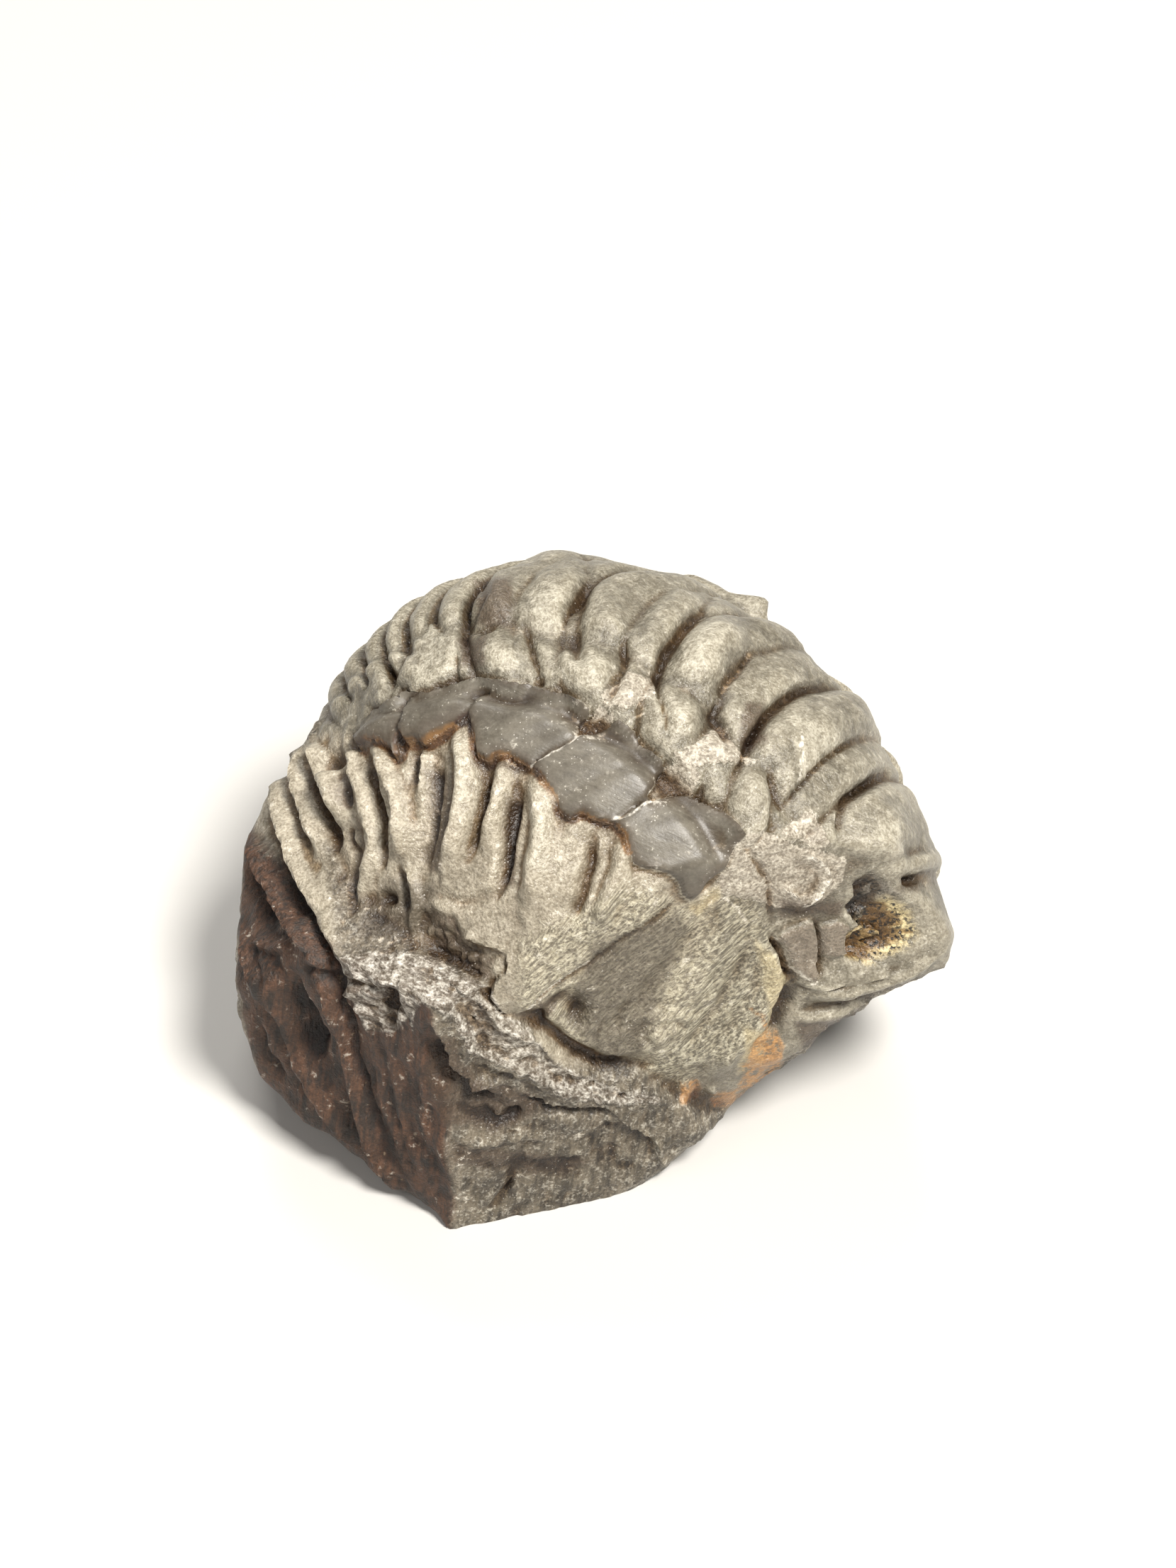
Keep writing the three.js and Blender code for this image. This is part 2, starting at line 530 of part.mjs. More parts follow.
// Nearest distance from a place to a line, how far along the line that is (0 to 1), and which side it is on
function nearLine([x, y], line) {
  const lengths = line.slice(1).map((end, i) => Math.hypot(end[0] - line[i][0], end[1] - line[i][1]));
  const total = lengths.reduce((sum, length) => sum + length, 0);
  let [distance, along, side, run] = [Infinity, 0, 0, 0];
  lengths.forEach((length, i) => {
    const [ax, ay] = line[i];
    const [ex, ey] = [(line[i + 1][0] - ax) / length, (line[i + 1][1] - ay) / length];
    const t = clamp((x - ax) * ex + (y - ay) * ey, 0, length);
    const gap = Math.hypot(x - ax - t * ex, y - ay - t * ey);
    if (gap < distance) {
      distance = gap;
      along = (run + t) / total;
      side = ex * (y - ay) - ey * (x - ax);
    }
    run += length;
  });
  return { distance, along, side };
}

function lineHeight(place, { line, left, right, height }) {
  const { distance, along, side } = nearLine(place, line);
  const taper = 0.3 + 0.7 * smooth(0, 0.2, along) * smooth(1, 0.8, along);
  return height * hump(distance / (side > 0 ? left : right)) * taper;
}

function lumpHeight([x, y], { at, radius, height }) {
  return height * hump(Math.hypot(x - at[0], y - at[1]) / radius);
}

// Distance inside an outline of the near face, negative outside it
function insideOutline(place, outline) {
  const [x, y] = place;
  let within = false;
  outline.forEach(([ax, ay], i) => {
    const [bx, by] = outline[(i + 1) % outline.length];
    if (ay > y !== by > y && x < ((bx - ax) * (y - ay)) / (by - ay) + ax) within = !within;
  });
  return (within ? 1 : -1) * nearLine(place, [...outline, outline[0]]).distance;
}

function nearRelief(place) {
  const shell = smooth(-0.3, 0.3, insideOutline(place, SHELL_OUTLINE));
  let cover = SHELL_THICKNESS;
  for (const back of SHELL_BACKS) cover += lineHeight(place, back);
  for (const overlap of SHELL_OVERLAPS) cover += lineHeight(place, overlap);
  let bare = 0;
  for (const rib of [...RIBS, ...CLEFTS, ...CHEEK, ...BRIM]) bare += lineHeight(place, rib);
  for (const lump of LUMPS) bare += lumpHeight(place, lump);
  let height = shell * cover + (1 - shell) * bare;
  for (const ridge of [...CREST_RELIEF, ...LEFT_RELIEF]) height += lineHeight(place, ridge);
  for (const { outline, edge, height: step } of PATCHES)
    height += step * smooth(-edge / 2, edge / 2, insideOutline(place, outline));
  return height;
}

// Distance from the centre to the sharp, unworn surface along a direction
function freshRadius(direction) {
  const bodyAngle = Math.atan2(direction.dot(bodyUp), direction.dot(bodyFront)) * TURN;
  const sideAngle = Math.asin(clamp(direction.dot(CROSS_AXIS), -1, 1)) * TURN;
  const ball = ballRadius(direction, bodyAngle, sideAngle);
  const animal = ball + ringHeight(bodyAngle, sideAngle) + farRelief(direction, ball, bodyAngle, sideAngle);
  let radius = softMax(animal, blockRadius(direction), BLOCK_BLEND);
  for (const face of [UPPER_LEFT_FACE, LEFT_FACE, LEFT_FOOT, BLOCK_FRONT])
    radius = softMin(radius, reach(face, direction), EDGE_WEAR);
  const under = softMax(reach(UNDER_FRONT, direction), reach(UNDER_HEAD, direction), EDGE_WEAR);
  radius = softMin(radius, under, EDGE_WEAR);
  const out = radius * direction.dot(faceOut);
  const spread = FACE_POINT.out / (FACE_POINT.out - out);
  const place = [
    FACE_POINT.across + (radius * direction.x - FACE_POINT.across) * spread,
    FACE_POINT.up + (radius * direction.dot(faceUp) - FACE_POINT.up) * spread,
  ];
  return radius + nearRelief(place) * smooth(-1.5, 1.5, out);
}

// Distance to the finished surface, before it is cut flat to rest on: the mean of two rings of places round
// the direction and of the middle, so that no edge is sharper than the wear
function surfaceRadius(direction) {
  const middle = freshRadius(direction);
  const upright = Math.abs(direction.z) < 0.9 ? UP : faceOut;
  const aside = new THREE.Vector3().crossVectors(direction, upright).normalize();
  let sum = middle;
  for (let i = 0; i < WEAR_SAMPLES; i++) {
    aside.applyAxisAngle(direction, (2 * Math.PI) / WEAR_SAMPLES);
    const step = (i % 2 ? WEAR : WEAR / 2) / middle;
    sum += freshRadius(direction.clone().addScaledVector(aside, step).normalize());
  }
  return sum / (WEAR_SAMPLES + 1);
}

const wasm = await Module();
wasm.setup();

function solid(geometry) {
  const bare = geometry.clone();
  bare.deleteAttribute("normal");
  bare.deleteAttribute("uv");
  const merged = mergeVertices(bare, 1e-5);
  const vertProperties = new Float32Array(merged.attributes.position.array);
  const triVerts = new Uint32Array(merged.index.array);
  return new wasm.Manifold(new wasm.Mesh({ numProp: 3, vertProperties, triVerts }));
}

// All that lies outside a broken face, as a large box whose one side is the face
function outside({ at, facing }) {
  const size = 120;
  const box = new THREE.BoxGeometry(size, size, size).translate(0, 0, size / 2);
  const out = new THREE.Vector3(...facing).normalize();
  box.applyQuaternion(new THREE.Quaternion().setFromUnitVectors(UP, out));
  return solid(box.translate(...at));
}

// An even grid on a sphere, crowded towards the near face and pushed out to the surface
function wholeStone() {
  const ball = new THREE.BoxGeometry(2, 2, 2, MESH_CUTS, MESH_CUTS, MESH_CUTS);
  const points = ball.attributes.position;
  const direction = new THREE.Vector3();
  for (let i = 0; i < points.count; i++) {
    direction.fromBufferAttribute(points, i);
    for (const axis of ["x", "y", "z"]) direction[axis] = Math.tan((direction[axis] * Math.PI) / 4);
    direction.normalize().addScaledVector(faceOut, NEAR_CROWDING).normalize();
    const out = direction.clone().multiplyScalar(surfaceRadius(direction)).add(CENTRE);
    points.setXYZ(i, out.x, out.y, out.z);
  }
  return solid(ball);
}

function fossil() {
  const { vertProperties, triVerts } = wholeStone().subtract(outside(RESTING_FACE)).getMesh();
  const geometry = new THREE.BufferGeometry();
  geometry.setAttribute("position", new THREE.BufferAttribute(vertProperties, 3));
  geometry.setIndex(new THREE.BufferAttribute(triVerts, 1));
  return geometry;
}

const greyStone = new THREE.MeshStandardMaterial({ color: 0x8a8174, roughness: 0.5, metalness: 0 });
const trilobite = new THREE.Mesh(fossil(), greyStone);
trilobite.name = "trilobite_fossil";
trilobite.position.copy(FOOTPRINT_MIDDLE).negate();

const part = new THREE.Group();
part.add(trilobite);
export default part;
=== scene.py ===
# A rolled-up trilobite in the stone it was found in, lying on the flat break it was split off by.
# Lengths are millimetres until a mesh is made: x to the right, y away, z up.
import math

import bpy
import mathutils
import numpy as np
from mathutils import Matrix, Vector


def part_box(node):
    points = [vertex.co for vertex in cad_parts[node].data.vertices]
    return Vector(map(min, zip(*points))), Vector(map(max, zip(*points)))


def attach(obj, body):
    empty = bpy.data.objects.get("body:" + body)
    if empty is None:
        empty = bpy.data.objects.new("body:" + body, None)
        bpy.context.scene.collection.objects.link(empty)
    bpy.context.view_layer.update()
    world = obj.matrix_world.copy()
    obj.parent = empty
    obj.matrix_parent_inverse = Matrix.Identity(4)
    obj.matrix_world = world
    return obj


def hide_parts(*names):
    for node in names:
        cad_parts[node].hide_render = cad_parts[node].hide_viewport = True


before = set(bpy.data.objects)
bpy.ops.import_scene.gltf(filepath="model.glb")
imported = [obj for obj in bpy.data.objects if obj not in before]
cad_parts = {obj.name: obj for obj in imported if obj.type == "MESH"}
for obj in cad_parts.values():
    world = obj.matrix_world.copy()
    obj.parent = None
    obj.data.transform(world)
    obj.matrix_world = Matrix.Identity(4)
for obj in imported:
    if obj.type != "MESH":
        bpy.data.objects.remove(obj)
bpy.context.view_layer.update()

# THE ROLLED BODY
# The animal curled nose to tail, its hard back turned to grey stone: a ball a little narrower than it is
# long, with a raised lobe for every ring of the body and a swollen knob where each ring meets the axis.
CENTRE = np.array([0, 0, 11.0])
CROSS = np.array([-0.474, -0.786, 0.397])  # runs through the ball from one cheek to the other
CROSS = CROSS / np.linalg.norm(CROSS)
UP = np.array([0, 0, 1.0])
BODY_UP = UP - (UP @ CROSS) * CROSS
BODY_UP = BODY_UP / np.linalg.norm(BODY_UP)
BODY_FRONT = -np.cross(CROSS, BODY_UP)
HALF_WIDTH = 13.5
# every 30 degrees round the body
RIM_RADIUS = [17.2, 19.4, 17.5, 18.0, 18.5, 19.3, 19.6, 17.6, 16.4, 16.4, 16.9, 17.2]
CHEEK_WALL = ((4.8, -11.3, 17), (0.2, -0.95, -0.2))
CHEEK_BLEND = 2.5
# rings in degrees round the body: front edge, furrow, tail edge; then lobe height and band height
RINGS = [
    (-28, -28, 26.2, 0.55, 0),
    (26.2, 29.8, 42, 1.15, 0.7),
    (42, 50, 61.5, 1.25, 0.75),
    (61.5, 72.3, 83, 1.4, 0.85),
    (83, 92, 102.5, 1.3, 0.95),
    (102.5, 112.3, 122.5, 1.25, 1.1),
    (122.5, 122.5, 129.5, 1.05, 0),
    (129.5, 129.5, 136, 1.05, 0),
    (136, 136, 142, 1, 0),
    (142, 142, 148, 0.95, 0),
    (148, 148, 154, 0.85, 0),
    (154, 154, 160, 0.7, 0),
    (160, 160, 166, 0.45, 0),
]
# share of a lobe's length it rises in and falls in, how round the fall is, the height it starts from
BANDED_LOBE, PLAIN_LOBE = (0.14, 0.24, 2.2, 0.4), (0.4, 0.5, 2.4, 0)
GROOVE_DEPTH, GROOVE_HALF = 0.14, 0.07  # between a ring's band and its lobe; the half is a share too
RING_MIDDLE, RING_HALF = 4.5, 28  # degrees across the body
NECK_AT, NECK_HALF, NECK_DEPTH = 14.5, 4, 0.35
TAIL_END = 172  # degrees round the body
# knobs: degrees round the body, degrees across it, half length, half width, height
KNOBS = [
    (116.5, 26, 7.5, 8, 1.3),
    (97, 25.5, 7.5, 7.5, 1.45),
    (77, 24.5, 8.5, 8, 1.4),
    (55.5, 24.5, 7.5, 7, 1.45),
    (36, 22, 6, 6, 0.8),
    (136.5, 27.5, 5.5, 6, 1.2),
    (146, 29, 5, 5.5, 1.15),
    (155, 29, 4.5, 5, 1),
]
# furrows beside the axis: degrees across the body, half width and depth
NEAR_FURROW, FAR_FURROW, FURROW_HALF, NEAR_DEPTH, FAR_DEPTH = 33, -24, 4, 0.55, 0.7
FAN_START, FAN_WIDTH, FAN_RIB, FAN_HEIGHT = -22.5, 49, 20, 0.75
LIP_ABOUT, LIP_HEIGHT = 2.24, 1.35  # the lip's angles are taken about a point this far up the near face
FACE_ACROSS = np.array([1.0, 0, 0])
FACE_UP = np.array([0, 1, 1]) / math.sqrt(2)
FACE_OUT = np.array([0, -1, 1]) / math.sqrt(2)


def smooth(start, end, x):
    t = np.clip((x - start) / (end - start), 0, 1)
    return t * t * (3 - 2 * t)


def hump(x):
    return np.where(np.abs(x) < 1, 0.5 + 0.5 * np.cos(np.pi * np.clip(x, -1, 1)), 0)


def crown(x, flat, soft):
    return np.clip(1 - np.abs(np.clip(x, -1, 1)) ** flat, 0, 1) ** soft


def soft_min(a, b, width):
    t = np.clip(0.5 + 0.5 * (b - a) / width, 0, 1)
    return b + (a - b) * t - width * t * (1 - t)


def soft_max(a, b, width):
    return -soft_min(-a, -b, width)


# a different whole number for every cell of a cubic grid
def scramble(cell, seed):
    n = (cell[:, 0] * 73856093) ^ (cell[:, 1] * 19349663) ^ (cell[:, 2] * 83492791) ^ (seed * 2654435)
    n = (n ^ (n >> 13)) * 60493 & 0x7FFFFFFF
    return (n ^ (n >> 7)) * 19073 & 0x7FFFFFFF


# soft lumps about size across, from -1 to 1
def lumps(spot, size, seed):
    q = spot / size + np.array([7.31, 3.77, 5.13]) * seed + 100.0
    cell = np.floor(q).astype(np.int64)
    part = q - cell
    part = part * part * part * (part * (part * 6 - 15) + 10)
    total = 0.0
    for corner in range(8):
        bit = np.array([corner & 1, corner >> 1 & 1, corner >> 2])
        value = (scramble(cell + bit, seed) & 0xFFFF) / 32767.5 - 1
        total = total + value * np.prod(np.where(bit, part, 1 - part), axis=1)
    return total


# how far from the centre a flat face is met
def reach(toward, at, facing):
    facing = np.array(facing, float) / np.linalg.norm(facing)
    slope = toward @ facing
    return np.where(slope > 1e-3, facing @ (np.array(at, float) - CENTRE) / np.maximum(slope, 1e-3), 1e3)


def rim_radius(degrees):
    at = (degrees + 180) / 30
    i = np.floor(at).astype(int)
    t = at - i
    a, b, c, d = (np.array(RIM_RADIUS)[(i + k) % 12] for k in (-1, 0, 1, 2))
    return b + 0.5 * t * (c - a + t * (2 * a - 5 * b + 4 * c - d + t * (3 * (b - c) + d - a)))


def rolled_body(toward):
    body = np.degrees(np.arctan2(toward @ BODY_UP, toward @ BODY_FRONT))
    side = np.degrees(np.arcsin(np.clip(toward @ CROSS, -1, 1)))
    radius = 1 / np.hypot(np.sin(np.radians(side)) / HALF_WIDTH, np.cos(np.radians(side)) / rim_radius(body))
    radius = soft_min(radius, reach(toward, *CHEEK_WALL), CHEEK_BLEND)
    spot = toward * radius[:, None]
    wander = lumps(spot, 5.0, 2) + 0.5 * lumps(spot, 2.2, 4)
    off = side - RING_MIDDLE + 0.8 * wander
    angle = body + np.where(off > 0, 0.014, 0.008) * off * off + 0.9 * wander
    relief = np.zeros(len(body))
    for front, furrow, tail, high, band in RINGS:
        run = np.clip((angle - front) / (tail - front), 0, 1)
        turn = (furrow - front) / (tail - front)
        rising, falling, roundness, foot = BANDED_LOBE if turn > 0 else PLAIN_LOBE
        level, groove = high, 0
        if turn > 0:
            level = band + (high - band) * smooth(turn - 0.08, turn + 0.24, run)
            groove = GROOVE_DEPTH * hump((run - turn) / GROOVE_HALF)
        rise = 1 - (1 - np.clip(run / rising, 0, 1)) ** 2
        fall = np.clip(1 - np.clip((run - 1 + falling) / falling, 0, 1) ** roundness, 0, 1) ** 0.7
        lobe = foot + (level - foot) * rise * fall - groove
        relief = np.where((angle >= front) & (angle < tail), lobe, relief)
    relief = relief * smooth(RING_HALF, RING_HALF - 5, np.abs(off)) * smooth(TAIL_END, TAIL_END - 8, angle)
    relief = relief * (1 - NECK_DEPTH * hump((off - NECK_AT) / NECK_HALF))
    relief = relief * (1 + 0.22 * lumps(spot, 3.6, 6) + 0.1 * lumps(spot, 1.7, 7))
    for ring, middle, half_long, half_wide, high in KNOBS:
        away = np.hypot((angle - ring) / half_long, (side - middle) / half_wide)
        relief = soft_max(relief, high * crown(away, 2.0, 0.7), 0.25)
    before_tail = smooth(TAIL_END, TAIL_END - 12, body)
    for middle, deep, there in (
        (NEAR_FURROW, NEAR_DEPTH, smooth(15, 35, body) * before_tail),
        (FAR_FURROW, FAR_DEPTH, smooth(-10, 10, body)),
    ):
        relief = relief - deep * hump((side - middle) / FURROW_HALF) * there
    # the ribs of the far side run out like a fan
    past = FAN_START - side
    fan = smooth(0, 5, past) * smooth(FAN_WIDTH, FAN_WIDTH - 15, past) * smooth(5, 20, body) * before_tail
    turns = (body + 0.5 * past - 63) / FAN_RIB
    relief = relief + FAN_HEIGHT * fan * (1 + 0.5 * np.cos(2 * np.pi * turns))
    # one ring stands out in a lip at the top right
    clock = np.degrees(np.arctan2(toward @ FACE_UP * radius - LIP_ABOUT, toward @ FACE_ACROSS * radius))
    tilt = np.degrees(np.arcsin(np.clip(toward @ FACE_OUT, -1, 1)))
    lip = smooth(82, 60, clock) * smooth(52.8, 55.2, clock) * crown((tilt + 9) / 14, 4, 0.8)
    relief = relief + LIP_HEIGHT * lip
    return radius + relief, relief, side


# THE BLOCK
# The rock still round the lower left of the animal: one lump with it, broken along flat faces by hammer
# blows, with a crest standing over a sunken front and a brown, torn face on the left.
# every face is a point on it and the way it looks
CREST = ((-8.5, -13.3, 15.9), (0.49, -0.85, 0.19))
SHELF = ((-5.8, -13, 10.4), (0.36, -0.82, 0.44))
FRONT = ((-7.5, -14.1, 0), (0.27, -0.963, 0.07))
BLOCK_FACES = [
    FRONT,
    ((2.6, -10.8, 7.7), (0.8, -0.31, 0.51)),
    ((-8.5, -13.3, 16.1), (-0.1, -0.15, 0.98)),
    ((-16.5, 3, 16.9), (-0.79, 0.43, 0.43)),
    ((-18.9, 2.5, 0), (-0.6, 0.8, 0)),
    ((-18.2, -1.1, 0), (-0.97, -0.17, -0.17)),
    ((-18.9, 0, 0), (-1, 0, 0)),
    ((0, 6, 0), (0.1, 1, 0.1)),
    ((9, -2, 0), (0.8, 0.6, 0)),
    ((0, 0, -2), (0, 0, -1)),
]
LEFT = ((-7.5, -14.1, 0), (-0.575, -0.817, 0.047))
UPPER_LEFT = ((-13.5, -5, 17.2), (-0.79, -0.2, 0.58))
LEFT_FOOT = ((-7.5, -14.1, 0), (-0.57, -0.43, -0.7))
UNDER_FRONT = ((10.3, -8, 6.9), (0.667, -0.491, -0.562))
UNDER_HEAD = ((18.0, -5.6, 11.2), (0.363, -0.624, -0.694))


def in_block(toward, ball):
    block = soft_max(reach(toward, *CREST), reach(toward, *SHELF), 0.5)
    for face in BLOCK_FACES:
        block = soft_min(block, reach(toward, *face), 0.4)
    radius = soft_max(ball, block, 0.6)
    on_block = smooth(-0.5, 0.3, block - ball)
    spot = toward * radius[:, None]
    wave = 0.25 * lumps(spot, 4.0, 21) + 0.12 * lumps(spot, 1.6, 22)
    left = soft_min(reach(toward, *LEFT), reach(toward, *UPPER_LEFT), 0.25)
    left = soft_min(left, reach(toward, *LEFT_FOOT), 0.4) + wave
    on_left = smooth(0.35, -0.15, left - radius)
    radius = soft_min(radius, left, 0.2)
    radius = soft_min(radius, reach(toward, *FRONT), 0.4)
    under = soft_max(reach(toward, *UNDER_FRONT), reach(toward, *UNDER_HEAD), 0.6) + 0.6 * wave
    on_under = smooth(0.3, -0.2, under - radius)
    return soft_min(radius, under, 1.3), on_block, on_left, on_under


# THE LOBES OF THE NEAR FACE
# What time did to the rings on the side that shows: some swelled, dark clefts opened between them, and the
# head's rim and cheek were pressed into folds. Points are millimetres across and up the tilted near face.
# middle, half length, half width, turn of the length in degrees, height
SWELLS = [
    ((6, 13.2), 2.5, 1.8, 50, 0.55),
    ((3.8, 15.2), 2.1, 1, 52, 0.3),
    ((13, 9.6), 2.3, 1.7, 35, 0.4),
    ((13.5, 6.5), 2, 1.1, 38, 0.2),
    ((15, 3.1), 2, 1.7, 45, 0.45),
    ((9.9, 11.8), 2.1, 1.2, 42, 0.25),
    ((0.7, 15.5), 2.1, 1.2, 75, 0.35),
    ((-2.1, 17), 2, 1.5, 80, 0.3),
    ((4.6, 9.5), 1.6, 1.3, 45, 0.3),
    ((7.6, 5.2), 1.6, 1.3, 30, 0.3),
    ((-0.8, 11.9), 1.9, 1.1, 5, 0.35),
    ((-5.3, 12.8), 1.7, 1.2, 10, 0.35),
    ((17.5, 1.7), 1.2, 1, 60, 0.2),
    ((-5.2, 15.9), 1.5, 0.9, 78, 0.25),
    ((-7.8, 15.1), 1.3, 0.7, 75, 0.25),
    ((-9.3, 14.3), 1.2, 0.6, 70, 0.2),
]
# line, half width on its left and on its right, height
CLEFTS = [
    ([(-0.4, 17.2), (-0.8, 15.9), (-1, 14.6), (-1.1, 13.1), (-0.8, 12.5)], 0.55, 0.75, -0.55),
    ([(-5.7, 16.7), (-6.5, 15), (-6.7, 14)], 0.35, 0.5, -0.45),
    ([(-3.7, 14.2), (-3.4, 13), (-3, 11.6)], 0.35, 0.35, -0.4),
    ([(1.4, 13.8), (1.6, 12.7), (1.1, 11.1), (0.6, 10.3)], 0.3, 0.5, -0.45),
    ([(6, 15.7), (4.5, 14.2), (3.5, 12.9), (3.1, 11.6)], 0.5, 0.5, -0.5),
    ([(3.1, 11.6), (3.5, 10.3), (3.8, 8.6)], 0.3, 0.4, -0.35),
    ([(8.2, 12.9), (7.4, 11.8), (6.6, 10.9)], 0.3, 0.35, -0.3),
    ([(6.7, 10.8), (6.3, 9.7), (7, 8)], 0.5, 0.6, -0.55),
    ([(11.9, 11.1), (10.4, 10.7), (9.1, 9.7), (8.2, 8.2), (7.8, 7.4)], 0.4, 0.45, -0.45),
    ([(13.5, 8.1), (12, 7.1), (10.6, 5.6), (9.6, 4.5)], 0.16, 0.16, -0.3),
    ([(15.5, 6.7), (14.6, 5.9), (13.1, 4.8), (12.8, 2.8)], 0.4, 0.45, -0.4),
    ([(9.2, 6.9), (9.5, 5.2), (9.3, 3.4), (8.1, 2.4)], 0.35, 0.4, -0.45),
    ([(5.9, 6.3), (5.5, 5.2), (5.7, 3.7), (6.6, 2.6)], 0.3, 0.35, -0.4),
    ([(-7.5, 13.2), (-7.5, 11.9), (-7.2, 11)], 0.3, 0.3, -0.45),
    ([(-10, 14.2), (-10.3, 12.9), (-10.8, 11.6), (-11.1, 10.3)], 0.45, 0.5, -0.5),
    ([(-5.3, 14.3), (-6.5, 14)], 0.3, 0.3, -0.35),
]
CHEEK = [
    ([(7.2, -1.1), (5.3, -4.5), (2.4, -8.2)], 1.2, 0.8, 0.3),
    ([(5.9, -1.1), (3.3, -4.3), (0.3, -7.5)], 0.9, 0.7, -0.25),
    ([(8.2, -2.6), (6.6, -6), (4.4, -8.8)], 0.5, 0.6, -0.25),
    ([(9.1, -2.4), (9.1, -4.9), (8.2, -6.7), (6.3, -9)], 1, 0.9, 0.55),
    ([(4.8, -0.5), (5.5, -0.1), (6.3, 0.4)], 0.35, 0.35, 0.25),
    ([(-4.7, -6.7), (-2.5, -8), (-1.1, -9), (0.3, -9.6), (2.4, -9.3)], 1.2, 0.4, -1.1),
    ([(-9, -3), (-7.2, -4.2), (-5.7, -4.8)], 0.5, 0.3, -0.4),
    ([(-3.8, -7.2), (-2.7, -6.2), (-1.6, -5.2)], 0.3, 0.7, -0.5),
    ([(1, -5.2), (0.3, -7.1), (-0.3, -9)], 0.2, 0.25, -0.12),
    ([(2.4, -4.9), (1.6, -6.7), (1, -9)], 0.2, 0.3, 0.14),
    ([(2.2, -6.7), (4, -6.3), (5.3, -6.7)], 0.5, 0.5, 0.2),
]
BRIM = [
    ([(10.3, -4.9), (12.6, -4.8), (15.2, -4.1), (18.4, -2.4)], 1.4, 1.1, 0.55),
    ([(17.1, 3), (18, 0.7), (18.4, -1.5), (18.2, -3.2)], 1.6, 1.2, 0.4),
    ([(10.3, -5.1), (12.6, -5.1), (15.2, -4.4), (18.2, -3.2)], 0.55, 0.7, 0.6),
    ([(10.7, -6.1), (13.1, -5.7), (15.7, -4.9), (18.4, -3.4)], 0.3, 0.35, -0.2),
    ([(10.1, -6.6), (13, -6.3), (15.4, -5.7)], 0.5, 0.5, 0.3),
    ([(10.1, -4.7), (9.8, -6.5), (9.3, -7.3)], 0.5, 0.8, -0.7),
    ([(9.2, -2.1), (9.6, -3.2), (10.3, -4.5)], 0.2, 0.35, -0.7),
    ([(7.4, 3), (8.2, 1.9), (8.9, 0.6), (9.3, -1.5)], 0.3, 0.4, -0.3),
    ([(11.5, -1.5), (11.6, -3), (11.5, -4.3)], 0.25, 0.25, -0.5),
    ([(13.4, 2.2), (14.9, 2.4), (16.7, 1.5)], 0.6, 0.7, 0.3),
]
# middle, half width, height
BUMPS = [
    ((-11, -0.4), 0.6, -0.6),
    ((16.6, 0.7), 0.55, -0.7),
    ((-3, 11.6), 0.4, -0.6),
    ((-0.5, 3.6), 0.7, 0.25),
    ((3.1, -7.5), 0.8, 0.45),
    ((4, -7.2), 0.6, 0.4),
    ((2.4, -8), 0.5, 0.3),
    ((6.7, -8.6), 0.6, 0.35),
    ((4.6, -10.3), 0.7, 0.4),
    ((6, -10.3), 0.4, 0.3),
    ((-8.2, -1.1), 1.3, 0.4),
    ((-1.3, -6.4), 1.5, -1),
    ((-5.7, -3.9), 1.3, 0.35),
]


# distance to a line, how far along it from 0 to 1, and which side: + is left of its run
def along(place, line):
    line = np.array(line, float)
    steps = np.diff(line, axis=0)
    lengths = np.hypot(steps[:, 0], steps[:, 1])
    best, where, hand = np.full(len(place), 1e9), np.zeros(len(place)), np.zeros(len(place))
    run = 0.0
    for start, step, length in zip(line, steps, lengths):
        unit = step / length
        off = place - start
        t = np.clip(off @ unit, 0, length)
        distance = np.hypot(off[:, 0] - t * unit[0], off[:, 1] - t * unit[1])
        nearer = distance < best
        best = np.where(nearer, distance, best)
        where = np.where(nearer, (run + t) / lengths.sum(), where)
        hand = np.where(nearer, unit[0] * off[:, 1] - unit[1] * off[:, 0], hand)
        run += length
    return best, where, np.sign(hand)


def round_about(place, line, margin):
    low, high = np.min(line, axis=0) - margin, np.max(line, axis=0) + margin
    return np.where(np.all((place > low) & (place < high), axis=1))[0]


# raise or sink the surface along every line of a list, fading to a share of the height at the ends
def ridges(place, height, lines, ends=0.3, power=1.0):
    for line, left, right, high in lines:
        close = round_about(place, line, max(left, right))
        distance, where, hand = along(place[close], line)
        taper = 1 - (1 - smooth(0, 0.2, where) * smooth(1, 0.8, where)) * (1 - ends)
        height[close] += high * hump(distance / np.where(hand > 0, left, right)) ** power * taper


def bump(place, height, middle, half, high, power=1.0):
    height += high * hump(np.hypot(place[:, 0] - middle[0], place[:, 1] - middle[1]) / half) ** power


def swollen(place):
    lift = np.zeros(len(place))
    for middle, half_long, half_wide, turned, high in SWELLS:
        c, s = math.cos(math.radians(turned)), math.sin(math.radians(turned))
        x, y = place[:, 0] - middle[0], place[:, 1] - middle[1]
        away = np.hypot((x * c + y * s) / half_long, (y * c - x * s) / half_wide)
        lift += high * np.clip(1 - away**2, 0, 1) ** 1.4
    return lift


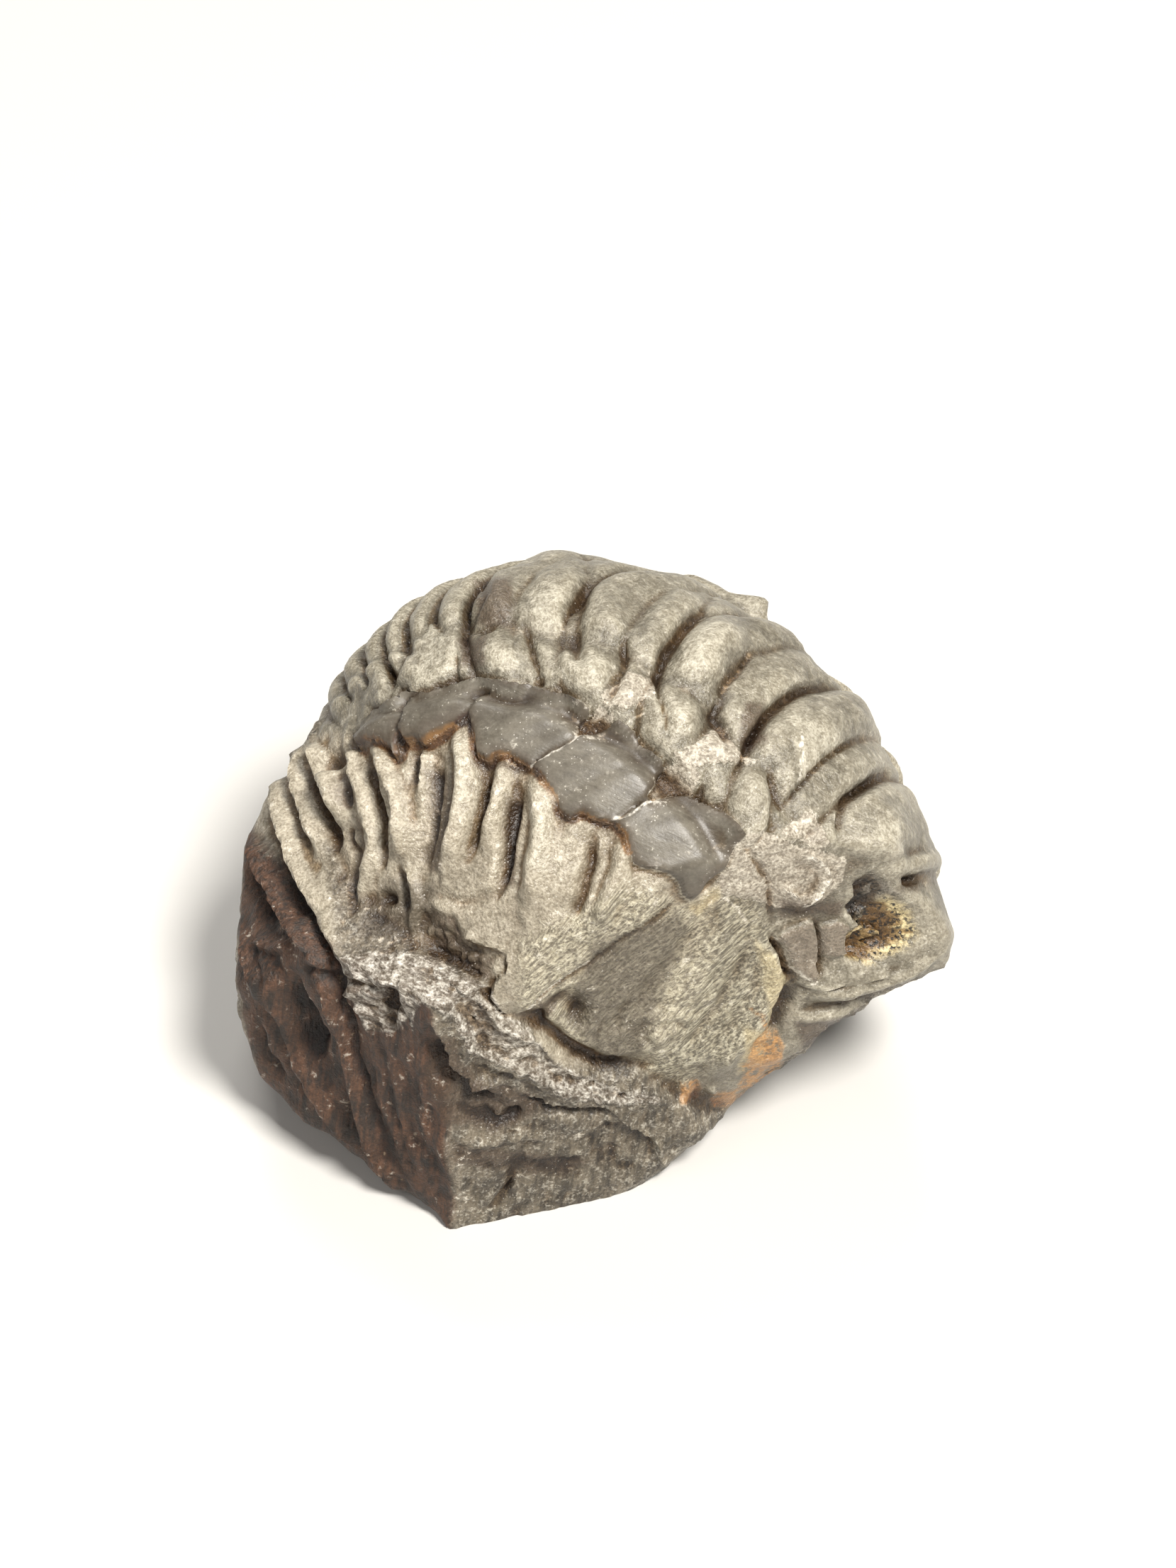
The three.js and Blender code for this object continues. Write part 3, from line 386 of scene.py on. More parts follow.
# THE MOULD
# The beige print of the animal's side where its shell has broken off: long ribs running down from the shell
# with hollows on their left that are painted brown as shade, all of the same stone as the block.
RIBS = [
    ([(-7.1, 8.6), (-6.9, 6.7), (-7, 5), (-7.3, 3.2), (-8, 1.4)], 1.15, 0.6, 1.05),
    ([(-8.2, 7.2), (-8.4, 5.6), (-8.6, 4.1), (-8.9, 2.2), (-9.1, 0.9)], 0.35, 0.75, -0.6),
    ([(-11.5, 7.5), (-11, 6.3), (-10.4, 5), (-10.1, 3.7), (-10.1, 2.2)], 0.7, 0.45, 0.85),
    ([(-12, 7.1), (-11.8, 5.6), (-11.3, 3.7), (-11.2, 1.5)], 0.3, 0.4, -0.75),
    ([(-9.5, 7.6), (-9.6, 6.5), (-9.7, 5.8)], 0.3, 0.35, -0.45),
    ([(-9, 7.5), (-9, 6.3), (-9.3, 5.1)], 0.35, 0.3, 0.4),
    ([(-4.9, 7.2), (-5.1, 5.8), (-5.4, 4.3), (-5.9, 2.6)], 0.8, 0.5, 0.7),
    ([(-5.7, 6.5), (-5.9, 4.9), (-6.3, 3.2), (-6.8, 1.7)], 0.3, 0.5, -0.45),
    ([(-4, 5.5), (-4.2, 4.1), (-4.5, 2.6), (-4.8, 0.9), (-5.1, -0.1)], 0.3, 0.75, -0.75),
    ([(-3.2, 6.3), (-3, 4.5), (-3.1, 2.6), (-3.4, 0.7), (-3.7, -1.1)], 1.35, 0.65, 0.95),
    ([(-1.4, 3.7), (-1.6, 2.2), (-1.9, 0.7), (-2.5, -1.1)], 0.8, 0.9, 0.3),
    ([(0, 3), (-0.2, 1.5), (-0.6, -0.1), (-1.3, -1.7)], 0.3, 0.75, -0.6),
    ([(1.4, 2.8), (1.1, 1.3), (0.5, -0.3), (-0.2, -1.9)], 1, 0.55, 0.8),
    ([(3.3, 0.4), (2.7, -0.7), (1.8, -1.9)], 0.9, 0.8, 0.3),
    ([(-13.1, 8.4), (-12.8, 6.7), (-12.3, 5), (-11.9, 3.5)], 0.45, 0.4, 0.5),
    ([(-13, 7.3), (-13, 5.8), (-13.2, 4.1)], 0.25, 0.3, -0.4),
    ([(-14.8, 7.8), (-14.2, 6.6), (-13.7, 5.3), (-13.4, 3.9)], 0.6, 0.4, 1),
    ([(-15.3, 7.2), (-14.9, 6), (-14.4, 4.8), (-13.9, 4.1), (-13.6, 2.6)], 0.3, 0.6, -0.9),
    ([(-16, 7.4), (-15.7, 6), (-15, 4.1), (-14.4, 2.2)], 0.45, 0.4, 0.65),
    ([(-16.6, 6.8), (-16.2, 5.5), (-15.6, 4), (-15.1, 2.6)], 0.3, 0.4, -0.7),
    ([(-17.3, 6.3), (-16.8, 5), (-16.2, 3.7), (-15.4, 1.7), (-14.7, -0.4)], 0.5, 0.4, 0.6),
    ([(-12.8, 4.1), (-12.5, 2.6), (-12.7, 0.7), (-12.8, -1.1)], 0.3, 0.3, -0.35),
    ([(-12, 4.1), (-11.7, 2.8), (-12, 1.1), (-12.3, -0.6)], 0.55, 0.45, 0.45),
    ([(-13.1, 3.5), (-12.9, 2.6), (-12.7, 2.1)], 0.22, 0.25, -0.5),
    ([(-10.3, 4.1), (-10.1, 2.8), (-10.3, 1.7)], 0.55, 0.45, 0.25),
    ([(-10.4, 1.3), (-10.1, 0.4), (-10.2, -1.1)], 0.4, 0.4, -0.5),
    ([(-10, 1.2), (-9.6, 0.4), (-9.3, -0.8), (-9.7, -1.6)], 0.3, 0.35, 0.45),
    ([(-9, -0.1), (-7.2, -0.6), (-5.3, -0.1)], 0.5, 0.6, -0.25),
]
# the mould reaches round onto the left face here
LEFT_MOULD = [
    (-18.4, 4.5), (-16.5, 7.5), (-13.9, 8.6), (-11.3, 7.8), (-11.1, 2.2), (-12.4, -1.5), (-13.4, -3.4),
    (-15.1, -0.9), (-16.8, 1.7), (-18.3, 3.3),
]
# the stone on the left of each run lies higher: rise, reach of the rise, drop, reach of the drop
LEDGE_STEP = (0.22, 1.6, 0.25, 0.7)
LEDGES = [
    [(-4.6, -6.9), (-3.7, -6.4), (-3, -5.5), (-2.2, -4.9), (-0.4, -3.6), (0.9, -2.6), (1.9, -1.9),
     (3.4, -0.9), (4.3, -0.2)],
    [(-7.1, -2.3), (-6.3, -2.7), (-5.7, -2.8), (-4.8, -3.1)],
    [(-4.7, -3.1), (-4.7, -4.2), (-5.4, -4.9), (-5.6, -5.6), (-5.2, -6.2), (-4.7, -6.9)],
    [(10.1, -4.6), (11.1, -4.9), (13, -4.6), (14.9, -4.2)],
]


# a step along every line of a list: up on the left of its run, down on the right
def steps(place, height, lines, up, up_reach, down, down_reach):
    for line in lines:
        close = round_about(place, line, max(up_reach, down_reach))
        distance, where, hand = along(place[close], line)
        edge = np.where(hand > 0, up * smooth(up_reach, 0, distance), -down * smooth(down_reach, 0, distance))
        height[close] += edge * smooth(0, 0.1, where) * smooth(1, 0.9, where)


def bare_stone(drawn):
    lift = np.zeros(len(drawn))
    ridges(drawn, lift, CLEFTS, 0.4)
    ridges(drawn, lift, RIBS, 0.35, 0.8)
    ridges(drawn, lift, CHEEK + BRIM)
    for middle, half, high in BUMPS:
        bump(drawn, lift, middle, half, high)
    steps(drawn, lift, LEDGES, *LEDGE_STEP)
    return lift


# THE SHELL
# What is left of the thin, dark outer shell: overlapping plates lying on the mould like roof tiles, with a
# broken honey-brown edge half a millimetre high, darkened at its foot by a painted shadow.
SHELL_THICKNESS = 0.55
SHELL = [
    (-12.3, 7.9), (-12.2, 7.5), (-11.9, 7.6), (-11.5, 7.8), (-11, 7.8), (-10.6, 7.5), (-10.4, 7),
    (-10.2, 7.2), (-10.3, 7.8), (-10.1, 8.4), (-9.8, 7.8), (-9.3, 7.9), (-8.9, 7.8), (-8.5, 8.1), (-8, 8.4),
    (-7.2, 8.9), (-6.6, 9.3), (-6.4, 8.6), (-6.2, 7.8), (-6, 7.2), (-5.5, 6.9), (-5.1, 7.2), (-4.5, 7.2),
    (-3.9, 6.9), (-3.4, 6.6), (-2.8, 6), (-2.5, 5.5), (-2.2, 4.9), (-1.9, 4.3), (-1.3, 4), (-0.7, 4.3),
    (-0.3, 4.1), (0.1, 3.9), (1, 3.6), (1.4, 3.1), (1.6, 2.2), (1.9, 1.6), (2.5, 1.3), (3.7, 1.1),
    (4.1, 0.6), (4.5, -0.1), (4.9, -0.4), (5.7, 0.5), (6.6, 1.2), (7.1, 2.4), (7.7, 3.1), (7.4, 3.7),
    (6.6, 4.3), (6, 4.6), (5.3, 4.9), (4.5, 5.1), (3.7, 5.1), (2.8, 4.9), (2.5, 5.3), (3, 5.8), (3.4, 6.4),
    (3.3, 7.1), (2.8, 7.5), (2.2, 7.8), (1.9, 8.6), (1.1, 9.3), (0.6, 8.7), (-0.1, 8.4), (-1, 8.4),
    (-0.7, 9), (-0.2, 9.7), (-0.6, 10.1), (-1.1, 10.3), (-1.9, 10.6), (-2.7, 10.9), (-3.7, 11.1),
    (-4.7, 11.3), (-5.7, 11.3), (-6.8, 11.1), (-7.8, 10.8), (-8.8, 10.4), (-9.7, 10.4), (-10.4, 10.1),
    (-11.3, 9.4), (-11.9, 8.7),
]
SHELL_BREAK = 36  # this many points of the outline run along the broken edge
# the plate on the left of each run lies on top
LAP_STEP = (0.12, 1.0, 0.22, 0.5)
LAPS = [
    [(-7.8, 10.7), (-9.1, 9.9), (-9.7, 9.2), (-10.2, 8.1)],
    [(-4.7, 10.7), (-6.1, 9.9), (-6.6, 9.3)],
    [(-0.7, 8.4), (-1.3, 7.9), (-2.3, 7.4), (-3.4, 6.6)],
    [(2.5, 4.9), (1.8, 4.3), (1, 3.7)],
]
PLATE_BACKS = [
    ([(-11.9, 7.9), (-10.5, 9.3), (-9, 10.2)], 1, 1.1, 0.45),
    ([(-9.6, 8.1), (-7.7, 9.7), (-5.7, 10.9)], 1, 1.3, 0.45),
    ([(-5.7, 7.4), (-3.4, 9), (-1.1, 10.1)], 1.3, 1.6, 0.35),
    ([(-2.5, 6.1), (-0.1, 6.9), (2.2, 7.3)], 1.3, 1.6, 0.25),
    ([(-1.1, 4.7), (1, 5.8), (3.1, 6.5)], 1.2, 1.4, 0.2),
    ([(1.4, 3), (3.8, 3.5), (6.6, 3.9)], 1.4, 1.9, 0.2),
]
PLATE_FOLDS = [
    ([(-5.3, 7.5), (-3.1, 8.2), (-0.4, 9.7)], 0.4, 0.5, -0.07),
    ([(-1.9, 4.9), (0.3, 6.2), (2.4, 6.9)], 0.35, 0.5, -0.09),
    ([(-9.4, 8.4), (-7.5, 10.1), (-5.3, 11)], 0.3, 0.4, -0.06),
]


# depth inside an outline, negative outside it
def depth_in(place, outline, margin=1.5, far=-3.0):
    close = round_about(place, outline, margin)
    spot = place[close]
    ring = np.array(list(outline) + [outline[0]], float)
    edge = along(spot, ring)[0]
    within = np.zeros(len(spot), bool)
    for (ax, ay), (bx, by) in zip(ring[:-1], ring[1:]):
        if ay != by:
            level = (ay > spot[:, 1]) != (by > spot[:, 1])
            within ^= level & (spot[:, 0] < (bx - ax) * (spot[:, 1] - ay) / (by - ay) + ax)
    depth = np.full(len(place), far)
    depth[close] = np.maximum(np.where(within, edge, -edge), far)
    return depth


def shell_top(place):
    lift = np.full(len(place), SHELL_THICKNESS)
    ridges(place, lift, PLATE_BACKS + PLATE_FOLDS, 0.7)
    steps(place, lift, LAPS, *LAP_STEP)
    return lift


# THE PALE FILLING, THE CHIPS AND THE PIT
# Pale crumbly stone shows between the lobes in patches; near the head a thin chip of shell stands on the
# stone beside a black pit lined with yellow granules.
FILLING = [
    [(0.2, 10.9), (0.9, 11.3), (1.6, 12), (2.9, 11.6), (3.1, 10.8), (2.5, 10.5), (2, 10), (1.2, 9.9),
     (0.5, 10.3)],
    [(-1.1, 8.4), (-0.7, 9), (-0.2, 9.4), (0.1, 10.3), (0.5, 10), (1, 9.4), (0.7, 8.7), (-0.1, 8.5)],
    [(2.6, 5.4), (3.4, 6.2), (3.4, 6.7), (4.4, 7.1), (5.2, 6.7), (5.6, 6.5), (5.2, 5.6), (4.9, 5.1),
     (4.1, 5.2), (2.9, 4.9)],
    [(3.8, 7.7), (4.6, 7.8), (5.6, 8.4), (6.6, 9.3), (6.9, 8.6), (7.5, 7.8), (7.8, 7.4), (8.5, 7.1),
     (7.9, 7), (7.1, 7.1), (6, 7), (5.2, 6.7), (4.4, 7.1)],
    [(9.6, 3.3), (10.4, 3.9), (11, 4.6), (11.6, 3.9), (12.1, 2.9), (12.3, 2.5), (11.5, 2.2), (10.6, 2.8),
     (10.1, 2.9)],
    [(7.1, 2.4), (7.9, 3.3), (9.3, 3.3), (10.6, 2.4), (11.9, 2.2), (13.1, 1.7), (13, 0.4), (11.5, -0.6),
     (9.6, -0.8), (8.1, -0.4), (6.6, -0.1), (6, 0.3), (6.6, 1.2)],
]
CRUST_RING = [(10.9, 1.9), (11.8, 1.4), (12, 0.7), (11.5, -0.1), (10.8, -0.7), (10.2, -0.3), (9.6, 0.1)]
# a flat scrap of stone over the tail's narrow rings
TAIL_PLATE = [(-8.8, 14), (-7.2, 13.4), (-7.5, 11.3), (-9.7, 10.5), (-9.6, 12.2)]
# a granular hollow below the mould
RECESS = [
    (-9.4, -0.4), (-7.5, -0.9), (-7, -2.5), (-4.9, -3.3), (-5.5, -4.9), (-7.2, -4.3), (-8.9, -3.3),
    (-9.6, -1.9),
]
CHIPS = [
    [(9.3, -2.2), (10.1, -1.8), (11.2, -1.5), (11.5, -2.8), (11.3, -4.1), (11, -4.5), (10.4, -4.2),
     (9.8, -3.1)],
    [(11.6, -1.7), (12.5, -1.4), (13.1, -1.7), (12.8, -2.4), (13, -3.2), (12.3, -3.4), (11.7, -3.2)],
]
PIT = [
    (12.8, -2.5), (13.9, -1.6), (13, -0.7), (13.6, -0.1), (13.5, 0.6), (14.6, 1.3), (15.7, 0.7),
    (16.4, -0.3), (17.1, -1), (17.2, -2.2), (16, -3.2), (14.9, -3.4), (14, -3.8), (13.1, -3.4),
]
# where the granules of the pit are yellow
GOLD = [
    (12.6, -2.6), (13.9, -1.5), (14.9, -1), (15.7, -0.1), (17.1, -0.6), (17.6, -1.9), (16.2, -4),
    (13, -4.2),
]


# angular grains: 0 at the seams rising to 1 inside each, and a shade from 0 to 1 for every grain
def crystals(spot, size, seed):
    q = spot / size + 50.0
    cell = np.floor(q).astype(np.int64)
    first, second, tone = np.full(len(q), 9.0), np.full(len(q), 9.0), np.zeros(len(q))
    for k in range(27):
        n = cell + np.array([k % 3 - 1, k // 3 % 3 - 1, k // 9 - 1])
        h = scramble(n, seed)
        distance = np.sqrt(sum((n[:, a] + (h >> 7 * a & 0x3FF) / 1023.0 - q[:, a]) ** 2 for a in range(3)))
        second = np.where(distance < first, first, np.minimum(second, distance))
        tone = np.where(distance < first, (h >> 5 & 0xFF) / 255.0, tone)
        first = np.minimum(first, distance)
    return np.clip((second - first) * 2, 0, 1), tone


def filling_and_pit(spot, drawn, filling, chip, pit):
    seams, tone = crystals(spot, 0.55, 9)
    lift = (0.14 + 0.18 * tone * seams) * smooth(-0.06, 0.08, filling)
    ridges(drawn, lift, [(CRUST_RING, 0.32, 0.32, 0.4)], 1)
    lift = lift + 0.4 * smooth(-0.08, 0.1, chip)
    lift = lift + (0.35 * tone * seams - 0.5) * smooth(-0.2, 0.5, depth_in(drawn, RECESS))
    seams, tone = crystals(spot, 0.65, 3)
    return lift + smooth(-0.15, 0.8, pit) * (-1.5 + 1.2 * tone * np.minimum(seams * 2, 1))


# THE CREST AND THE BROKEN FACES
# Along the top of the block runs a crest of white and brown crystals; below it the front is sunken and
# granular, and the left face is torn into steep dark ridges and hollows.
CREST_AREA = [
    (-13.9, -3.2), (-11.1, -2.8), (-8.7, -3.2), (-7.2, -4.2), (-5.3, -5.2), (-4.7, -6.7), (-4, -7.1),
    (-1.6, -9.1), (1.4, -10.4), (3.7, -10.6), (3.5, -11), (1, -11.3), (-1.6, -10.7), (-4, -9.4),
    (-6.5, -8.5), (-7.5, -6.7), (-9, -6), (-10.5, -7.5), (-12, -7.3), (-13.5, -5.2),
]
CREST_LINES = [
    ([(-11.3, -3.6), (-8.7, -5.2), (-7.5, -6.6), (-6.5, -8.3), (-4.2, -9.2), (-1.6, -10.6),
      (1.4, -11)], 0.8, 0.9, 0.45),
    ([(-7, -5.1), (-5.7, -6.1), (-4.9, -7.4), (-3.1, -7.8), (-1.7, -9.3)], 0.45, 0.3, 0.35),
    ([(-8, -5.6), (-6.7, -6.7), (-5.9, -8.1), (-4.6, -8.7)], 0.3, 0.3, -0.25),
    ([(-9, -6.1), (-8.3, -7.5), (-7.2, -9.2), (-6.3, -10.2), (-4.2, -10.1)], 0.5, 0.3, 0.45),
    ([(-8.9, -7.6), (-8.2, -9.4), (-7, -11), (-5.3, -11.4)], 0.9, 0.9, -1.25),
    ([(-8.1, -11.4), (-6.8, -12.1), (-5.3, -12.4), (-3.9, -11.6)], 0.6, 0.3, -0.7),
    ([(-3.9, -11), (-2.6, -11.5), (-0.1, -11.6), (0.9, -11.7)], 0.2, 0.5, -0.9),
    ([(-7.5, -12.9), (-5.3, -13.2), (-3.1, -12.5)], 0.4, 0.7, 0.35),
    ([(-5.7, -16.9), (-4.9, -16.1), (-4.5, -15)], 0.3, 0.3, -0.7),
    ([(0.9, -11.6), (2.4, -12.4), (3.4, -13.5), (3.5, -14.6)], 0.35, 0.3, 0.35),
    ([(-5.3, -14.2), (-3.1, -14.6), (-0.4, -14.7)], 0.8, 1.2, -0.25),
    ([(-8.6, -12.7), (-7.5, -14.6), (-7.2, -16.4)], 0.7, 0.7, 0.3),
    ([(-9.3, -6.7), (-9.3, -9), (-9.1, -11.2), (-8.8, -14.2), (-8.5, -16.4)], 0.3, 0.3, 0.25),
]
# a shallow dint under the crest
DISC = [
    (-0.1, -11.8), (1.4, -11.9), (2.5, -12.5), (3.3, -13.4), (3.3, -14.4), (1.8, -15.1), (-0.1, -14.7),
    (-1, -13.2),
]
TORN_LINES = [
    ([(-18.5, 3.1), (-17.5, 1.7), (-16.4, -0.1), (-15.3, -1.9), (-14.4, -3.8)], 0.5, 0.6, 1.1),
    ([(-17.5, 4.1), (-16.8, 2.6), (-16, 1), (-15.1, -1.1), (-14.2, -3.2), (-13.5, -5.2)], 0.45, 0.5, -1.15),
    ([(-16.8, 4.5), (-15.9, 3), (-15, 0.7), (-14.2, -1.5), (-13.7, -3)], 0.6, 0.6, 0.45),
    ([(-18.1, 1.6), (-17.6, -0.1), (-17.1, -1.5)], 0.6, 0.8, -1.3),
    ([(-17.9, -2.3), (-16.9, -2.8), (-15.9, -2.5)], 0.5, 0.5, 0.7),
    ([(-18.7, -1.5), (-18.3, -3.4), (-17.5, -6), (-16.7, -7.8), (-16, -9.3)], 0.35, 0.4, 0.6),
    ([(-17.5, -3.4), (-17.1, -5.2), (-16.1, -7.1), (-15, -9.3), (-13.9, -11.2),
      (-12.3, -13.8)], 0.4, 0.4, 0.8),
    ([(-16.4, -4.5), (-15.4, -6.3), (-14.6, -8.1)], 0.7, 0.9, -1.7),
    ([(-17.8, -6.6), (-17.3, -8.2), (-16.8, -9.6)], 0.4, 0.5, -1.4),
    ([(-16.2, -8.4), (-15.6, -9.6), (-15.2, -10.6)], 0.35, 0.4, -0.9),
    ([(-15, -3.4), (-13.9, -5.6), (-13.1, -7.8), (-12.6, -10.1), (-12, -12.3), (-11.1, -14.6),
      (-10, -16.4)], 0.4, 0.45, 0.65),
    ([(-14, -4.2), (-13.1, -6.7), (-12.5, -9), (-11.8, -11.2), (-11, -13.8)], 0.3, 0.3, -0.45),
    ([(-12.8, -5.2), (-12, -7.1), (-11.5, -9), (-11, -11.2), (-10.3, -13.4),
      (-9.5, -16)], 0.35, 0.35, 0.45),
    ([(-12.2, -6.7), (-11.6, -8.6), (-11.1, -10.8), (-10.5, -12.7)], 0.25, 0.25, -0.35),
    ([(-13.2, -10.4), (-12.8, -12.3), (-12.2, -14.2)], 0.3, 0.4, -0.8),
    ([(-10.9, -8.2), (-10.4, -10.4), (-10, -12.7), (-9.3, -14.9)], 0.3, 0.3, 0.3),
    ([(-17.4, -11), (-16.4, -12.1), (-14.9, -12.5)], 0.9, 0.8, 1.1),
    ([(-17.4, -10.3), (-16.6, -11), (-15.4, -11.6)], 0.7, 0.7, 0.5),
    ([(-15.4, -4.2), (-14.8, -3.8), (-13.9, -4.5)], 0.2, 0.3, -0.4),
    ([(-13.5, -4.4), (-12.4, -4.9), (-11.6, -5.2)], 0.2, 0.35, -0.5),
]
# middle, half width, height, sharpness
TORN_BUMPS = [
    ((-11.1, -5.7), 0.85, -1.3, 0.7),
    ((-11, -6.7), 0.7, -0.5, 1),
    ((-10, -5), 0.5, 0.35, 1),
    ((-12.9, -5.2), 0.6, 0.4, 1),
]
STEEP_GRAIN = [(0.92, 0.3, 0.25), (-0.37, 0.45, 0.1), (0.1, -0.15, 0.25)]  # stretches the torn face's grain
CREST_RUN = (0.84, -0.38, -0.38)
FADE_IN = (-3, -1)  # the near face's own forms start between these distances along FACE_OUT


# rough stone: lumps of halving size
def rough(spot, size, octaves, seed, keep=0.5):
    return sum(keep**k * lumps(spot, size / 2**k, seed + 11 * k) for k in range(octaves))


def broken_faces(spot, drawn, out, crest_area, on_left, on_broken):
    lift = np.zeros(len(drawn))
    ridges(drawn, lift, CREST_LINES)
    lift = lift - 0.3 * smooth(-0.1, 0.5, depth_in(drawn, DISC))
    torn = np.zeros(len(drawn))
    ridges(drawn, torn, TORN_LINES)
    for middle, half, high, power in TORN_BUMPS:
        bump(drawn, torn, middle, half, high, power)
    lift = lift + torn * smooth(*FADE_IN, out)
    steep = spot @ np.stack(STEEP_GRAIN, 1)
    lift = lift + on_left * (0.12 * rough(steep, 0.7, 3, 41) + 0.06 * np.abs(lumps(spot, 0.9, 42)))
    seams, tone = crystals(spot, 0.7, 15)
    lift = lift + on_broken * (0.17 * rough(spot, 0.8, 4, 43, 0.7) + 0.1 * tone * seams)
    laid = spot - 0.65 * np.outer(spot @ CREST_RUN, CREST_RUN)
    seams, tone = crystals(laid, 0.6, 17)
    needles = 0.2 * tone * np.minimum(2 * seams, 1) + 0.14 * rough(laid, 0.42, 3, 18, 0.6) - 0.05
    return lift + crest_area * needles


# THE STAINS_AND_SHADING AND PAINTED SHADING
# Colour only, lying flat on the stone: brown patches, partly the stone's own brown and partly painted shade
# in hollows, under ledges and on the shaded sides of ribs; painted shade on the cheek and at the foot of the
# mould;
# pale patches, partly the pale scrap over the tail and partly painted highlights on swollen lobes and the lit
# sides of ribs; cream and rust-orange near the cheek, and thin white crusts along cracks.
STAINS_AND_SHADING = {
    # partly brown stone, partly painted shade in hollows, under ledges and on the shaded sides of ribs
    "brown_and_shade": [
        [(-6.5, 16.7), (-4.5, 16.9), (-4.3, 15.3), (-4.7, 14.3), (-6.6, 14.3)],
        [(-7.4, 13.6), (-5.7, 14.1), (-5.7, 12.1), (-7.2, 12.1)],
        [(7.7, 10.3), (9, 10.3), (9, 8.2), (8.1, 7.5), (7.4, 8.2)],
        [(9.4, -0.3), (13, -0.4), (12.9, -1.2), (9.6, -1.3)],
        [(16, 1), (17.1, 1), (17.2, 0.1), (16, 0.1)],
        [(10.4, -6.7), (13.4, -6.3), (16.7, -5.2), (14.5, -7.1), (10.7, -8.2)],
        [(-9, -0.7), (-7.5, -1.2), (-7, -2.6), (-5.3, -3.4), (-5.7, -4.8), (-7.2, -4.1), (-8.8, -3.1)],
        [(-4, -6.7), (-3.1, -5.8), (-1.9, -5.4), (-2.3, -6.7), (-3.4, -7.5)],
        [(-9, -7.1), (-7.5, -7.8), (-6.2, -9.7), (-3.8, -10.6), (-2.3, -11.6), (-5.3, -12.7), (-7.9, -12.4),
         (-9, -10.1)],
        [(-7.5, -13.1), (-4.6, -13.6), (-0.1, -14.2), (-1.6, -15.2), (-5.3, -14.9), (-7.5, -14.2)],
        [(-8.9, 6.5), (-7.7, 6.7), (-7.5, 3.4), (-8.2, 1.1), (-9, 0.9)],
        [(-4.8, 5.2), (-3.9, 5), (-4.3, 0.4), (-5.1, -0.1)],
        [(-6.4, 7.2), (-3.6, 6.8), (-3.7, 6.3), (-6.3, 6.6)],
        [(-13.5, 6.3), (-12.8, 6.4), (-12.7, 4.5), (-13.3, 4.5)],
    ],
    # painted shade
    "painted_shade": [
        [(-0.3, -2.6), (4.4, -0.9), (5, -1.9), (3.3, -6), (2.2, -9), (0.3, -9), (-1.9, -7.1)],
        [(-11, 0.9), (-8.3, 0.7), (-8.7, -1.9), (-10.5, -2.6), (-12.8, -2.2)],
    ],
    # the pale scrap over the tail, and painted highlights on swollen lobes and the lit sides of ribs
    "pale_and_highlight": [
        TAIL_PLATE,
        [(-6.1, 13.2), (-4.1, 13.2), (-4.1, 11.9), (-5.7, 11.8)],
        [(-1.9, 12.9), (0.3, 13), (0.9, 11.9), (0.3, 10.9), (-1.9, 11)],
        [(10.1, 9.7), (11.5, 9.3), (13.1, 8.2), (11.5, 6.5), (10.6, 6)],
        [(14.3, 4.1), (16, 3.7), (16.2, 2.2), (14.5, 1.7)],
        [(-3.6, 16.4), (-1.6, 16.3), (-1.9, 13.8), (-3.4, 14)],
        [(4.4, 14.6), (7, 14.2), (6.3, 11.9), (4.4, 11.8)],
        [(2.8, 10.6), (5, 10.3), (4.6, 8.6), (3.3, 9)],
        [(-7.5, 8.2), (-6.5, 8.2), (-6.5, 5.2), (-7.2, 3.7)],
        [(-3.5, 6), (-2.1, 4.9), (-2.5, 1.1), (-3.4, 1.1)],
    ],
    "cream": [
        [(8.4, -2.4), (10.1, -4.5), (9.6, -7.1), (8.7, -6.7)],
        [(4.7, -0.7), (6.3, 0.5), (6.6, -0.1), (5.3, -1.2)],
        [(7.4, -6.7), (9.1, -7.1), (8.7, -9), (7.4, -9.7)],
    ],
    "orange": [
        [(8.2, -7.5), (9.7, -7.3), (9.8, -9), (8.9, -9.7), (7.9, -10.4), (7.4, -11.2), (7.6, -9.3)],
        [(4.3, -9.9), (5.3, -9.8), (5.4, -10.8), (4.4, -10.9)],
        [(8, -6), (8.4, -6.2), (9.2, -7.2), (8.8, -7.3)],
        [(5.9, -10.6), (7.4, -10.4), (7.2, -11.2), (6.1, -11.3)],
    ],
}
CHEEK_AREA = [
    (-4, -2.6), (1.4, 0.4), (5.1, -0.6), (8.1, 0.4), (10.1, -4.5), (9.1, -7.8), (4.4, -10.1), (0.7, -9.3),
    (-4, -6.7),
]
SOFT_EDGE, SHADE_EDGE, CRUST_HALF = 0.45, 0.8, 0.17
SEEN_PAST = -0.5  # marks lie on what stands further out than this along FACE_OUT
CRUSTS = [
    CRUST_RING,
    [(-10.4, -5), (-9.6, -6), (-9.8, -7.1)],
    [(-5.3, -7.2), (-3.8, -7.5)],
    [(9.3, -2.3), (9.4, -2.6), (9.9, -3.6), (10.4, -4.2), (11, -4.6), (11.4, -4.2)],
    [(6.6, -0.1), (7.4, -0.8), (7.8, -1.5)],
    [(-4.6, -6.9), (-3.7, -6.4), (-2.2, -4.9), (-0.4, -3.6)],
    [(0.9, 3.9), (1.6, 4.1), (2.4, 4.7), (3.1, 5.1)],
    [(-3.4, 6.6), (-1.9, 7.5), (-1, 8.2), (0.5, 9.7)],
    [(8.2, 12.9), (7.4, 11.8), (6.6, 10.9)],
    [(7.1, 7.4), (8.2, 7.1)],
    [(10.7, 8.9), (10.8, 7.4), (10.6, 6)],
    [(1.4, 9.1), (2.4, 9.7)],
]


